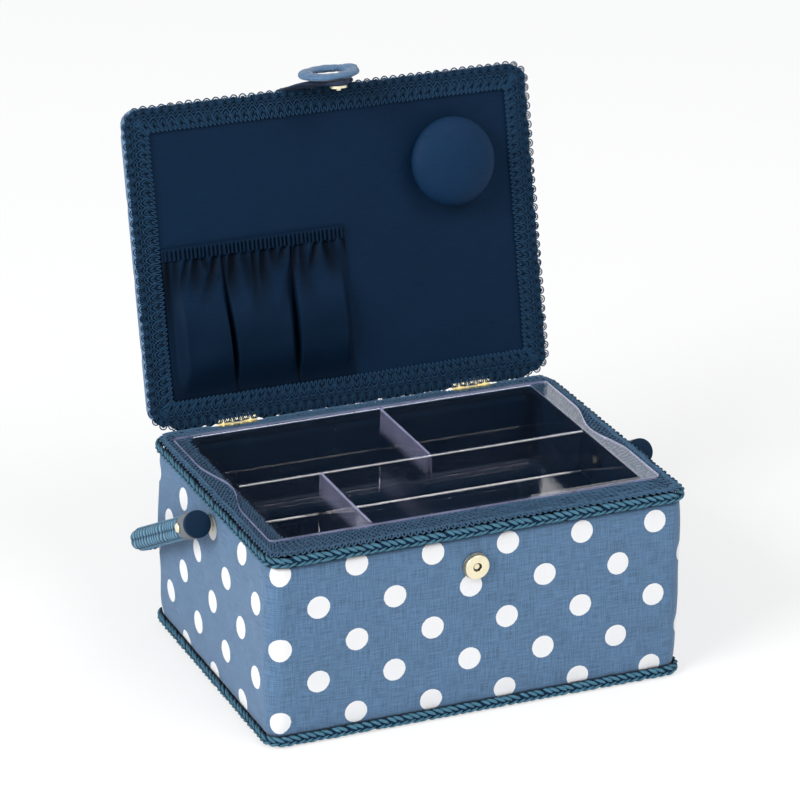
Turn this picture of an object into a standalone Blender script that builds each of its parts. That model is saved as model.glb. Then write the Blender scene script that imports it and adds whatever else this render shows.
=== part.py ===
"""Sewing box: padded fabric case, lift-out tray, hinged lid, snap tab and bail handle.

Lengths are in metres and angles in degrees. +Z is up, +X is to the right seen from the
front and +Y is to the rear. The origin is the middle of the underside. The box stands open:
the lid leans back on its hinges, the tray is seated and the handle is folded behind.
"""

import math

import bmesh
import bpy
from mathutils import Vector

# Clearances and overruns
GAP = 0.0003
RUNNING_GAP = 0.00035
CUT_OVERRUN = 0.003

# Case, measured over its cords
BOX_WIDTH = 0.260
BOX_DEPTH = 0.190
BOX_CORNER_RADIUS = 0.0125
INNER_CORNER_RADIUS = 0.0004
RIM_HEIGHT = 0.117
CORD_DEPTH = 0.0058
CORD_HEIGHT = 0.0074
CORD_LIFT = 0.0001
COVER_INSET = 0.004
COVER_THICKNESS = 0.001
COVER_CROWN = 0.0015
WADDING_THICKNESS = 0.0045
BOARD_THICKNESS = 0.003
LINING_THICKNESS = 0.0008
BASE_CLOTH_THICKNESS = 0.0006
BASE_BOARD_THICKNESS = 0.003
FLOOR_PAD_THICKNESS = 0.0015
RIM_FRAME_THICKNESS = 0.0027
RIM_BRAID_THICKNESS = 0.0015
FRONT_RIM_WIDTH = 0.0165
REAR_RIM_WIDTH = 0.0084
SIDE_RIM_WIDTH = 0.0134

# Tray
TRAY_FIT_GAP = 0.0012
TRAY_HEIGHT = 0.027
TRAY_WALL = 0.0014
TRAY_FLOOR = 0.0014
TRAY_DRAFT = 0.0012
TRAY_CORNER_RADIUS = 0.006
POCKET_CORNER_RADIUS = 0.003
FLOOR_FILLET = 0.0018
DIVIDER_THICKNESS = 0.0012
DIVIDER_DROP = 0.001
LONG_DIVIDER_OFFSET = 0.001
REAR_DIVIDER_X = 0.011
FRONT_DIVIDER_X = -0.0575
FLANGE_THICKNESS = 0.0013
FLANGE_WIDTH = 0.0102
FLANGE_WAIST_WIDTH = 0.0032
FLANGE_WAIST_LENGTH = 0.072
FLANGE_CORNER_RADIUS = 0.0032
LIP_WIDTH = 0.0022

# Hinges
HINGE_SIDE_SETBACK = 0.055
HINGE_WIDTH = 0.024
HINGE_KNUCKLE = 0.008
HINGE_LIFT = 0.0018
HINGE_SETBACK = 0.002
BARREL_RADIUS = 0.0017
HINGE_PIN_RADIUS = 0.0006
HINGE_PIN_HEAD_RADIUS = 0.0011
HINGE_PIN_HEAD = 0.0005
LEAF_THICKNESS = 0.0006
LEAF_END_MARGIN = 0.0006
LID_LEAF_LENGTH = 0.012
LID_LEAF_NECK = 0.0019
LID_LEAF_RAMP = 0.0015
SCREW_SPREAD = 0.014
SCREW_HEAD_RADIUS = 0.0016
SCREW_SHANK_RADIUS = 0.0007
BOX_SCREW_LENGTH = 0.007
LID_SCREW_LENGTH = 0.0033
LID_SCREW_INSET = 0.0085

# Lid, in its own closed frame: origin on the hinge axis, -Y to the front
LID_OPEN_ANGLE = 103.4
LID_PLANE_RISE = 0.0025
LID_REAR_GAP = 0.0015
LID_FRONT_INSET = 0.0005
LID_SIDE_INSET = 0.0035
LID_CORNER_RADIUS = 0.010
LID_LINING_THICKNESS = 0.0006
LID_BOARD_THICKNESS = 0.003
LID_HEIGHT = 0.0125
LID_COVER_THICKNESS = 0.001
LID_EDGE_ROUNDING = 0.0055
LID_CROWN = 0.0015
LID_BRAID_WIDTH = 0.0142
LID_BRAID_THICKNESS = 0.0017
LID_BRAID_MARGIN = 0.0003

# Pocket on the lid lining
POCKET_RIGHT_X = 0.003
POCKET_HEIGHT = 0.089
POCKET_CLOTH = 0.0009
POCKET_SEAM_HEIGHT = 0.0014
POCKET_HEADER_HEIGHT = 0.0030
POCKET_BULGE = 0.0072
POCKET_TOP_BULGE = 0.0012
POCKET_GATHER_DEPTH = 0.0006

# Pin cushion on the lid lining
CUSHION_SIDE_SETBACK = 0.0537
CUSHION_FRONT_SETBACK = 0.0527
CUSHION_RADIUS = 0.0263
CUSHION_NECK_RADIUS = 0.0232
CUSHION_HEIGHT = 0.0175
CUSHION_GATHER = 0.0006
CUSHION_BASE_RADIUS = 0.021
CUSHION_BASE_THICKNESS = 0.001

# Snap closure
CLOSURE_X = -0.004
SNAP_DROP = 0.025
SNAP_BACKING_RADIUS = 0.0078
SNAP_BACKING_THICKNESS = 0.0005
SNAP_SHELL_RADIUS = 0.00725
SNAP_SHELL_DEPTH = 0.0022
SNAP_SHELL_WALL = 0.0005
SNAP_HOLE_RADIUS = 0.0026
SNAP_MAGNET_BORE = 0.0031
SNAP_POST_RADIUS = 0.0016
SNAP_POST_RECESS = 0.0014
SNAP_SHANK_RADIUS = 0.0011
SNAP_WASHER_RADIUS = 0.005
SNAP_WASHER_THICKNESS = 0.0006
SNAP_SEAT_GAP = 0.0004
STUD_RADIUS = 0.0052
STUD_THICKNESS = 0.0014
STUD_NUB_RADIUS = 0.0015
STUD_NUB_LENGTH = 0.0010

# Closure tab, in its own frame: origin on the flex line, -Y outward, -Z to the tip.
# The ring pull swings on a stitched line near the tip.
TAB_AXIS_OUT = 0.0018
TAB_AXIS_DROP = 0.0005
TAB_ROOT_WIDTH = 0.040
TAB_THICKNESS = 0.0024
TAB_TIP_RADIUS = 0.0068
TAB_RISE = 0.012
TAB_ANCHOR_HEIGHT = 0.0055
TAB_ANCHOR_THICKNESS = 0.0015
TAB_ANCHOR_GAP = 0.0015
RING_RADIUS = 0.018
RING_BAND = 0.0064
RING_THICKNESS = 0.0042
RING_TIP_MARGIN = 0.0021

# Bail handle, in its own frame: origin midway between the pivots, arms along +Y
HANDLE_REST_ANGLE = 27.5
HANDLE_PIVOT_DROP = 0.017
HANDLE_SIDE_GAP = 0.0004
HANDLE_REST_GAP = 0.0008
HANDLE_BEND_RADIUS = 0.022
SLEEVE_RADIUS = 0.0068
SLEEVE_WALL = 0.0013
SLEEVE_END = 0.0090
CAP_RADIUS = 0.0079
CAP_NOSE = 0.0123
CAP_SKIRT = 0.0037
CAP_EDGE = 0.0009
CAP_FACE = 0.0020
RIVET_SHAFT_RADIUS = 0.0012
RIVET_HEAD_RADIUS = 0.00275
RIVET_HEAD = 0.0012
RIVET_TAIL_RADIUS = 0.0022
RIVET_TAIL = 0.0008
SPACER_RADIUS = 0.0055
WASHER_RADIUS = 0.0050
WASHER_THICKNESS = 0.0008

# Counts
CORNER_STEPS = 5
COVER_LEVELS = 6
CORD_SIDES = 8
ROUND_STEPS = 20
SMALL_STEPS = 12
BEND_STEPS = 6
HANDLE_SIDES = 10
RING_STEPS = 28
RING_SIDES = 8
POCKET_COLUMNS = 44
POCKET_ROWS = 11
CUSHION_STEPS = 48
CUSHION_GATHERS = 16
TAB_ROWS = 12
TAB_COLUMNS = 6
FLANGE_STEPS = 14

# Heights worked out from the sizes above
BASE_BOARD_BOTTOM = BASE_CLOTH_THICKNESS + GAP
WALL_BOTTOM = BASE_BOARD_BOTTOM + BASE_BOARD_THICKNESS + GAP
COVER_BOTTOM = CORD_LIFT + CORD_HEIGHT + GAP
BRAID_BOTTOM = RIM_HEIGHT - RIM_BRAID_THICKNESS
FRAME_TOP = BRAID_BOTTOM - GAP
FRAME_BOTTOM = FRAME_TOP - RIM_FRAME_THICKNESS
WALL_TOP = FRAME_BOTTOM - GAP
COVER_TOP = RIM_HEIGHT - GAP - CORD_HEIGHT - GAP
SNAP_HEIGHT = RIM_HEIGHT - SNAP_DROP
HANDLE_PIVOT_HEIGHT = RIM_HEIGHT - HANDLE_PIVOT_DROP
TRAY_TOP = RIM_HEIGHT + GAP + FLANGE_THICKNESS
TRAY_BOTTOM = TRAY_TOP - TRAY_HEIGHT

# Insets from the outline over the cords
WADDING_OUTER_INSET = COVER_INSET + COVER_THICKNESS + GAP
WADDING_INNER_INSET = WADDING_OUTER_INSET + WADDING_THICKNESS
BOARD_OUTER_INSET = WADDING_INNER_INSET + GAP
BOARD_INNER_INSET = BOARD_OUTER_INSET + BOARD_THICKNESS
LINING_OUTER_INSET = BOARD_INNER_INSET + GAP
LINING_INNER_INSET = LINING_OUTER_INSET + LINING_THICKNESS
FRAME_INSET = CORD_DEPTH + GAP

# Opening in the rim, and the tray that hangs in it
OPENING_HALF_X = BOX_WIDTH / 2 - FRAME_INSET - SIDE_RIM_WIDTH
OPENING_FRONT = -(BOX_DEPTH / 2 - FRAME_INSET - FRONT_RIM_WIDTH)
OPENING_REAR = BOX_DEPTH / 2 - FRAME_INSET - REAR_RIM_WIDTH
OPENING_CENTRE_Y = (OPENING_FRONT + OPENING_REAR) / 2
OPENING_HALF_Y = (OPENING_REAR - OPENING_FRONT) / 2
TRAY_HALF_X = OPENING_HALF_X - TRAY_FIT_GAP
TRAY_HALF_Y = OPENING_HALF_Y - TRAY_FIT_GAP

# Hinge axis and lid plan in the lid's frame
HINGE_X = BOX_WIDTH / 2 - HINGE_SIDE_SETBACK
HINGE_Y = BOX_DEPTH / 2 - HINGE_SETBACK
HINGE_Z = RIM_HEIGHT + HINGE_LIFT
LID_HALF_X = BOX_WIDTH / 2 - LID_SIDE_INSET
LID_FRONT = HINGE_Y + BOX_DEPTH / 2 - LID_FRONT_INSET
LID_MIDDLE = (LID_REAR_GAP + LID_FRONT) / 2
LID_HALF_Y = (LID_FRONT - LID_REAR_GAP) / 2
LID_SKIRT_BOTTOM = LID_PLANE_RISE + GAP
LID_BOARD_BOTTOM = LID_PLANE_RISE + LID_LINING_THICKNESS + GAP
LID_BOARD_TOP = LID_BOARD_BOTTOM + LID_BOARD_THICKNESS
LID_TOP = LID_PLANE_RISE + LID_HEIGHT
LID_BRAID_TOP = LID_PLANE_RISE - GAP
LID_BRAID_INNER_INSET = LID_BRAID_MARGIN + LID_BRAID_WIDTH
CUSHION_X = LID_HALF_X - CUSHION_SIDE_SETBACK
CUSHION_FORWARD = LID_FRONT - CUSHION_FRONT_SETBACK

# Handle sizes that seat it on the case
HANDLE_ARM_X = BOX_WIDTH / 2 + HANDLE_SIDE_GAP + CAP_RADIUS
HANDLE_LENGTH = (
    BOX_DEPTH / 2 - COVER_INSET + COVER_CROWN + HANDLE_REST_GAP + SLEEVE_RADIUS
) / math.cos(math.radians(HANDLE_REST_ANGLE))
CORE_RADIUS = SLEEVE_RADIUS - SLEEVE_WALL - GAP
RIVET_HOLE_RADIUS = RIVET_SHAFT_RADIUS + RUNNING_GAP

# Gathers of the pocket: places across the width and along the height, as shares
POCKET_DIVISION_SHARES = (0.325, 0.70)
POCKET_DIVISION_WIDTH_SHARE = 0.028
POCKET_SIDE_RAMP_SHARE = 0.10
POCKET_FULL_SHARE = 0.40
POCKET_TIGHT_SHARE = 0.78
POCKET_HEADER_SHARE = 0.93
POCKET_GATHER_FADE_SHARE = 0.24
POCKET_GATHERS = 11

# Cushion rings from the lining outward: radius between neck and full, height, gather depth
CUSHION_RING_SHARES = (
    (0.00, 0.00, 0.5),
    (0.55, 0.07, 1.0),
    (0.88, 0.19, 0.7),
    (1.00, 0.34, 0.3),
    (0.98, 0.50, 0.1),
)
CUSHION_CROWN_ANGLE_SHARES = (0.30, 0.50, 0.68, 0.84)

# Crown of the lid: inset from the rounded edge as a share of the half length, and its rise
LID_CROWN_SHARES = ((0.12, 0.55), (0.32, 0.90), (0.60, 1.0))


def clear_scene():
    """Remove every object that the file holds."""
    for item in list(bpy.data.objects):
        bpy.data.objects.remove(item, do_unlink=True)


def material(name, colour, roughness, metallic=0.0, alpha=1.0):
    """Return the named material, made once."""
    found = bpy.data.materials.get(name)
    if found:
        return found
    made = bpy.data.materials.new(name)
    made.use_nodes = True
    shader = made.node_tree.nodes["Principled BSDF"]
    shader.inputs["Base Color"].default_value = (*colour, 1.0)
    shader.inputs["Roughness"].default_value = roughness
    shader.inputs["Metallic"].default_value = metallic
    shader.inputs["Alpha"].default_value = alpha
    made.diffuse_color = (*colour, alpha)
    return made


def board_card():
    return material("board_card", (0.33, 0.25, 0.17), 0.85)


def wadding_white():
    return material("wadding_white", (0.80, 0.80, 0.78), 0.95)


def denim_dots():
    return material("denim_dots", (0.11, 0.20, 0.36), 0.85)


def navy_cloth():
    return material("navy_cloth", (0.008, 0.022, 0.055), 0.75)


def navy_braid():
    return material("navy_braid", (0.020, 0.055, 0.110), 0.80)


def teal_cord():
    return material("teal_cord", (0.040, 0.110, 0.180), 0.80)


def brass():
    return material("brass", (0.80, 0.66, 0.36), 0.28, metallic=1.0)


def steel():
    return material("steel", (0.55, 0.56, 0.58), 0.35, metallic=1.0)


def dark_plastic():
    return material("dark_plastic", (0.006, 0.018, 0.040), 0.25)


def clear_plastic():
    return material("clear_plastic", (0.78, 0.80, 0.90), 0.08, alpha=0.25)


def empty(name, location, parent=None, rotation_x=0.0):
    """Add an empty that carries moving pieces."""
    frame = bpy.data.objects.new(name, None)
    bpy.context.scene.collection.objects.link(frame)
    frame.location = location
    frame.rotation_euler = (math.radians(rotation_x), 0.0, 0.0)
    frame.parent = parent
    return frame


def add_solid(name, verts, faces, surface, parent=None, location=(0, 0, 0), rotation=(0, 0, 0)):
    """Add one object whose faces all point outward."""
    mesh = bpy.data.meshes.new(name)
    mesh.from_pydata([tuple(vert) for vert in verts], [], faces)
    mesh.materials.append(surface)
    work = bmesh.new()
    work.from_mesh(mesh)
    bmesh.ops.recalc_face_normals(work, faces=work.faces)
    work.to_mesh(mesh)
    work.free()
    mesh.shade_smooth()
    mesh.set_sharp_from_angle(angle=math.radians(32))
    item = bpy.data.objects.new(name, mesh)
    bpy.context.scene.collection.objects.link(item)
    item.location = location
    item.rotation_euler = [math.radians(angle) for angle in rotation]
    item.parent = parent
    return item


def smooth_step(share):
    """Ease a share from 0 to 1, level at both ends."""
    share = min(max(share, 0.0), 1.0)
    return share * share * (3 - 2 * share)


def arc(centre, radius, start, end, steps):
    """Points on an arc, with angles in degrees and both ends included."""
    points = []
    for step in range(steps + 1):
        angle = math.radians(start + (end - start) * step / steps)
        points.append((centre[0] + radius * math.cos(angle), centre[1] + radius * math.sin(angle)))
    return points


def plan_loop(half_x, half_y, radius, height, centre=(0.0, 0.0), steps=CORNER_STEPS):
    """Rounded rectangle at one height, anticlockwise seen from above."""
    corners = ((1, -1, -90), (1, 1, 0), (-1, 1, 90), (-1, -1, 180))
    points = []
    for side_x, side_y, start in corners:
        middle = (
            centre[0] + side_x * (half_x - radius),
            centre[1] + side_y * (half_y - radius),
        )
        points += arc(middle, radius, start, start + 90, steps)
    return [(x, y, height) for x, y in points]


def box_loop(inset, height):
    """Outline of the case at a height, moved inward from the line over the cords."""
    radius = max(BOX_CORNER_RADIUS - inset, INNER_CORNER_RADIUS)
    return plan_loop(BOX_WIDTH / 2 - inset, BOX_DEPTH / 2 - inset, radius, height)


def square_loop(inset, height):
    """Outline of the case with nearly sharp corners, for what lies against the boards."""
    return plan_loop(BOX_WIDTH / 2 - inset, BOX_DEPTH / 2 - inset, INNER_CORNER_RADIUS, height)


def opening_loop(height):
    """Edge of the opening in the rim at a height."""
    radius = TRAY_CORNER_RADIUS + TRAY_FIT_GAP
    centre = (0.0, OPENING_CENTRE_Y)
    return plan_loop(OPENING_HALF_X, OPENING_HALF_Y, radius, height, centre)


def lid_loop(inset, height):
    """Outline of the lid in its own frame, moved inward from its edge."""
    radius = max(LID_CORNER_RADIUS - inset, INNER_CORNER_RADIUS)
    return plan_loop(LID_HALF_X - inset, LID_HALF_Y - inset, radius, height, (0.0, -LID_MIDDLE))


def skin(loops, count, wrap=False):
    """Quads between neighbouring loops of the same length."""
    faces = []
    rows = len(loops) if wrap else len(loops) - 1
    for row in range(rows):
        above = (row + 1) % len(loops)
        for column in range(count):
            following = (column + 1) % count
            faces.append((
                row * count + column,
                row * count + following,
                above * count + following,
                above * count + column,
            ))
    return faces


def stacked(name, loops, surface, parent=None, location=(0, 0, 0), rotation=(0, 0, 0)):
    """Solid between the first and the last of a stack of loops."""
    count = len(loops[0])
    verts = [point for loop in loops for point in loop]
    faces = skin(loops, count)
    faces.append(tuple(range(count))[::-1])
    faces.append(tuple(range(len(verts) - count, len(verts))))
    return add_solid(name, verts, faces, surface, parent, location, rotation)


def band(name, loops, surface, parent=None):
    """Closed band whose section runs through the loops and back to the first."""
    count = len(loops[0])
    verts = [point for loop in loops for point in loop]
    return add_solid(name, verts, skin(loops, count, wrap=True), surface, parent)


def turned_parts(profile, steps):
    """Vertices and faces of a profile of (radius, height) turned about Z.

    Points of no radius close the shape at a pole. A profile without them is a closed ring.
    """
    verts = []
    rows = []
    for radius, height in profile:
        if radius == 0:
            rows.append([len(verts)])
            verts.append((0.0, 0.0, height))
            continue
        rows.append(list(range(len(verts), len(verts) + steps)))
        for step in range(steps):
            angle = 2 * math.pi * step / steps
            verts.append((radius * math.cos(angle), radius * math.sin(angle), height))
    pairs = list(zip(rows, rows[1:]))
    if len(rows[0]) > 1:
        pairs.append((rows[-1], rows[0]))
    faces = []
    for lower, upper in pairs:
        for step in range(steps):
            following = (step + 1) % steps
            corners = [
                lower[step % len(lower)],
                lower[following % len(lower)],
                upper[following % len(upper)],
                upper[step % len(upper)],
            ]
            faces.append(tuple(dict.fromkeys(corners)))
    return verts, faces


def turned(name, profile, surface, parent=None, location=(0, 0, 0), rotation=(0, 0, 0), steps=ROUND_STEPS):
    """Solid of revolution about its own Z axis."""
    verts, faces = turned_parts(profile, steps)
    return add_solid(name, verts, faces, surface, parent, location, rotation)


def between_grids(name, front, back, surface, parent=None, location=(0, 0, 0)):
    """Solid between two grids of points with the same rows and columns."""
    rows = len(front)
    columns = len(front[0])
    size = rows * columns
    verts = [point for grid in (front, back) for line in grid for point in line]
    faces = []
    for row in range(rows - 1):
        for column in range(columns - 1):
            first = row * columns + column
            quad = (first, first + 1, first + columns + 1, first + columns)
            faces.append(quad)
            faces.append(tuple(index + size for index in quad[::-1]))
    edge = [column for column in range(columns)]
    edge += [row * columns + columns - 1 for row in range(1, rows)]
    edge += [(rows - 1) * columns + column for column in range(columns - 2, -1, -1)]
    edge += [row * columns for row in range(rows - 2, 0, -1)]
    for here, following in zip(edge, edge[1:] + edge[:1]):
        faces.append((here, here + size, following + size, following))
    return add_solid(name, verts, faces, surface, parent, location)


def as_cutter(item):
    """Hide a solid that only cuts others."""
    item.hide_render = True
    item.display_type = "WIRE"
    return item


def box_cutter(name, low, high, parent=None):
    """Cutter that fills the box between two corners."""
    half_x = (high[0] - low[0]) / 2
    half_y = (high[1] - low[1]) / 2
    corners = [(-half_x, -half_y), (half_x, -half_y), (half_x, half_y), (-half_x, half_y)]
    loops = [[(x, y, height) for x, y in corners] for height in (low[2], high[2])]
    middle = ((low[0] + high[0]) / 2, (low[1] + high[1]) / 2, 0.0)
    return as_cutter(stacked(name, loops, board_card(), parent, middle))


def round_cutter(name, radius, length, location, rotation=(0, 0, 0), parent=None):
    """Cutter that is a cylinder centred on its location, along its own Z axis."""
    profile = [(0, -length / 2), (radius, -length / 2), (radius, length / 2), (0, length / 2)]
    return as_cutter(turned(name, profile, board_card(), parent, location, rotation, SMALL_STEPS))


def combine(item, tool, operation):
    """Add a Boolean modifier that uses another solid."""
    modifier = item.modifiers.new(tool.name, "BOOLEAN")
    modifier.operation = operation
    modifier.solver = "EXACT"
    modifier.object = tool


def cut(item, *cutters):
    """Subtract the cutters from a solid."""
    for cutter in cutters:
        combine(item, cutter, "DIFFERENCE")


def crown_share(height):
    """How far the padded wall bulges at a height: none at the cords, full in the middle."""
    share = (height - COVER_BOTTOM) / (COVER_TOP - COVER_BOTTOM)
    return 1 - (2 * share - 1) ** 4


def cover_inset(height):
    """Inset of the cover's outer face at a height."""
    return COVER_INSET - COVER_CROWN * crown_share(height)


def wall_heights():
    """Levels at which the padded wall is shaped."""
    step = (COVER_TOP - COVER_BOTTOM) / COVER_LEVELS
    return [COVER_BOTTOM + step * level for level in range(COVER_LEVELS + 1)]


def padded_wall(name, outer, inner, surface):
    """Ring round the case between an outer and an inner outline, both given by height."""
    heights = wall_heights()
    outside = [outer(height) for height in heights]
    inside = [inner(height) for height in reversed(heights)]
    return band(name, outside + inside, surface)


def rivet_cutter(side, name):
    """Cutter for the handle's rivet through the case on one side."""
    place = (side * BOX_WIDTH / 2, 0.0, HANDLE_PIVOT_HEIGHT)
    reach = 2 * (LINING_INNER_INSET + CUT_OVERRUN)
    return round_cutter(name, RIVET_HOLE_RADIUS, reach, place, (0, 90, 0))


def snap_cutter():
    """Cutter for the snap's shank through the front wall."""
    place = (CLOSURE_X, -BOX_DEPTH / 2, SNAP_HEIGHT)
    reach = 2 * (BOARD_INNER_INSET + GAP / 2)
    return round_cutter("cut_snap_shank", SNAP_SHANK_RADIUS + GAP, reach, place, (90, 0, 0))


def make_base():
    """Base cloth, base board and floor pad."""
    stacked("base_cloth", [box_loop(FRAME_INSET, 0.0), box_loop(FRAME_INSET, BASE_CLOTH_THICKNESS)],
            navy_cloth())
    top = BASE_BOARD_BOTTOM + BASE_BOARD_THICKNESS
    stacked("base_board", [box_loop(FRAME_INSET, BASE_BOARD_BOTTOM), box_loop(FRAME_INSET, top)],
            board_card())
    inset = LINING_INNER_INSET + GAP
    pad_top = WALL_BOTTOM + FLOOR_PAD_THICKNESS
    stacked("floor_pad", [box_loop(inset, WALL_BOTTOM), box_loop(inset, pad_top)], navy_cloth())


def upright_board(name, centre, half_x, half_y):
    """One wall board with square edges."""
    corners = [(-half_x, -half_y), (half_x, -half_y), (half_x, half_y), (-half_x, half_y)]
    loops = [[(x, y, height) for x, y in corners] for height in (WALL_BOTTOM, WALL_TOP)]
    return stacked(name, loops, board_card(), location=(centre[0], centre[1], 0.0))


def make_boards(rivet_cutters, shank_cutter):
    """Front and rear boards run full width, and the side boards stand between them."""
    half = BOARD_THICKNESS / 2
    middle_y = BOX_DEPTH / 2 - BOARD_OUTER_INSET - half
    middle_x = BOX_WIDTH / 2 - BOARD_OUTER_INSET - half
    front = upright_board("front_board", (0.0, -middle_y), middle_x + half, half)
    rear = upright_board("rear_board", (0.0, middle_y), middle_x + half, half)
    for side, name in ((-1, "left"), (1, "right")):
        board = upright_board(f"{name}_board", (side * middle_x, 0.0), half, middle_y - half - GAP)
        cut(board, rivet_cutters[side])
    recess_radius = SNAP_WASHER_RADIUS + GAP
    recess_depth = SNAP_WASHER_THICKNESS + GAP
    place = (CLOSURE_X, -middle_y + half, SNAP_HEIGHT)
    recess = round_cutter("cut_washer_recess", recess_radius, 2 * recess_depth, place, (90, 0, 0))
    cut(front, shank_cutter, recess)
    return rear


def make_walls(rivet_cutters, shank_cutter):
    """Wadding, cover and lining of the four walls."""
    wadding = padded_wall(
        "wall_wadding",
        lambda height: box_loop(cover_inset(height) + COVER_THICKNESS + GAP, height),
        lambda height: square_loop(WADDING_INNER_INSET, height),
        wadding_white(),
    )
    cover = padded_wall(
        "box_cover",
        lambda height: box_loop(cover_inset(height), height),
        lambda height: box_loop(cover_inset(height) + COVER_THICKNESS, height),
        denim_dots(),
    )
    levels = (WALL_BOTTOM, WALL_TOP)
    outside = [box_loop(LINING_OUTER_INSET, height) for height in levels]
    inside = [box_loop(LINING_INNER_INSET, height) for height in reversed(levels)]
    lining = band("box_lining", outside + inside, navy_cloth())
    for item in (wadding, cover, lining):
        cut(item, rivet_cutters[-1], rivet_cutters[1])
    for item in (wadding, cover):
        cut(item, shank_cutter)


def make_cord(name, centre_height):
    """Plaited cord round the case, as a plain band with an oval section."""
    loops = []
    for side in range(CORD_SIDES):
        angle = 2 * math.pi * (side + 0.5) / CORD_SIDES
        inset = CORD_DEPTH / 2 * (1 - math.cos(angle))
        loops.append(box_loop(inset, centre_height + CORD_HEIGHT / 2 * math.sin(angle)))
    return band(name, loops, teal_cord())


def leaf_cut(side, low_y, low_z, high_z, name):
    """Cutter that clears a hinge leaf on the case, from low_y to beyond the rear edge."""
    half = HINGE_WIDTH / 2 + GAP
    low = (side * HINGE_X - half, low_y, low_z)
    high = (side * HINGE_X + half, BOX_DEPTH / 2, high_z)
    return box_cutter(name, low, high)


def make_rim():
    """Frame and braid on top of the walls, notched for the hinge leaves."""
    frame_loops = [box_loop(FRAME_INSET, height) for height in (FRAME_BOTTOM, FRAME_TOP)]
    frame_loops += [opening_loop(height) for height in (FRAME_TOP, FRAME_BOTTOM)]
    frame = band("rim_frame", frame_loops, board_card())
    braid_loops = [box_loop(FRAME_INSET, height) for height in (BRAID_BOTTOM, RIM_HEIGHT)]
    braid_loops += [opening_loop(height) for height in (RIM_HEIGHT, BRAID_BOTTOM)]
    braid = band("rim_braid", braid_loops, navy_braid())
    step_y = box_leaf_step_y() - LEAF_THICKNESS / 2 - GAP
    for side, name in ((-1, "left"), (1, "right")):
        mortise_floor = FRAME_TOP - LEAF_THICKNESS - GAP
        mortise = leaf_cut(side, box_leaf_end_y() - GAP, mortise_floor, RIM_HEIGHT, f"cut_mortise_{name}")
        cut(frame, mortise)
        cut(braid, leaf_cut(side, step_y, FRAME_BOTTOM, HINGE_Z, f"cut_braid_{name}"))
    return frame


def tray_loop(inset, height):
    """Outline of the tray's wall, moved inward, about the tray's own centre."""
    radius = max(TRAY_CORNER_RADIUS - inset, INNER_CORNER_RADIUS)
    return plan_loop(TRAY_HALF_X - inset, TRAY_HALF_Y - inset, radius, height)


def flange_width(along):
    """Width of the end flange, drawn in at the middle to leave room for a finger."""
    share = 1 - abs(along) / (FLANGE_WAIST_LENGTH / 2)
    return FLANGE_WIDTH - (FLANGE_WIDTH - FLANGE_WAIST_WIDTH) * smooth_step(share)


def flange_outline():
    """Outline of the plate round the tray's top: a lip at front and rear, wavy ends."""
    half_y = TRAY_HALF_Y + LIP_WIDTH
    radius = FLANGE_CORNER_RADIUS
    straight = half_y - radius
    corner_x = TRAY_HALF_X + FLANGE_WIDTH - radius
    side = arc((corner_x, -straight), radius, -90, 0, CORNER_STEPS)
    for step in range(1, FLANGE_STEPS):
        along = -straight + 2 * straight * step / FLANGE_STEPS
        side.append((TRAY_HALF_X + flange_width(along), along))
    side += arc((corner_x, straight), radius, 0, 90, CORNER_STEPS)
    return side + [(-x, -y) for x, y in side]


def compartment_cutter(name, low, high, bottom, top):
    """Cutter for one compartment: drafted walls, rounded corners and a fillet at the floor."""
    half_x = (high[0] - low[0]) / 2
    half_y = (high[1] - low[1]) / 2
    radius = POCKET_CORNER_RADIUS
    levels = (
        (TRAY_DRAFT + FLOOR_FILLET, bottom),
        (TRAY_DRAFT + FLOOR_FILLET * 0.3, bottom + FLOOR_FILLET * 0.3),
        (TRAY_DRAFT, bottom + FLOOR_FILLET),
        (0.0, top),
    )
    loops = []
    for inset, height in levels:
        loops.append(plan_loop(half_x - inset, half_y - inset, radius, height, steps=3))
    middle = ((low[0] + high[0]) / 2, (low[1] + high[1]) / 2 + OPENING_CENTRE_Y, 0.0)
    return as_cutter(stacked(name, loops, board_card(), location=middle))


def compartments():
    """Corners of the four compartments about the tray's centre."""
    half = DIVIDER_THICKNESS / 2
    left = -(TRAY_HALF_X - TRAY_WALL)
    right = TRAY_HALF_X - TRAY_WALL
    front = -(TRAY_HALF_Y - TRAY_WALL)
    rear = TRAY_HALF_Y - TRAY_WALL
    long_y = LONG_DIVIDER_OFFSET
    return {
        "rear_left": ((left, long_y + half), (REAR_DIVIDER_X - half, rear)),
        "rear_right": ((REAR_DIVIDER_X + half, long_y + half), (right, rear)),
        "front_left": ((left, front), (FRONT_DIVIDER_X - half, long_y - half)),
        "front_right": ((FRONT_DIVIDER_X + half, front), (right, long_y - half)),
    }


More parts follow.
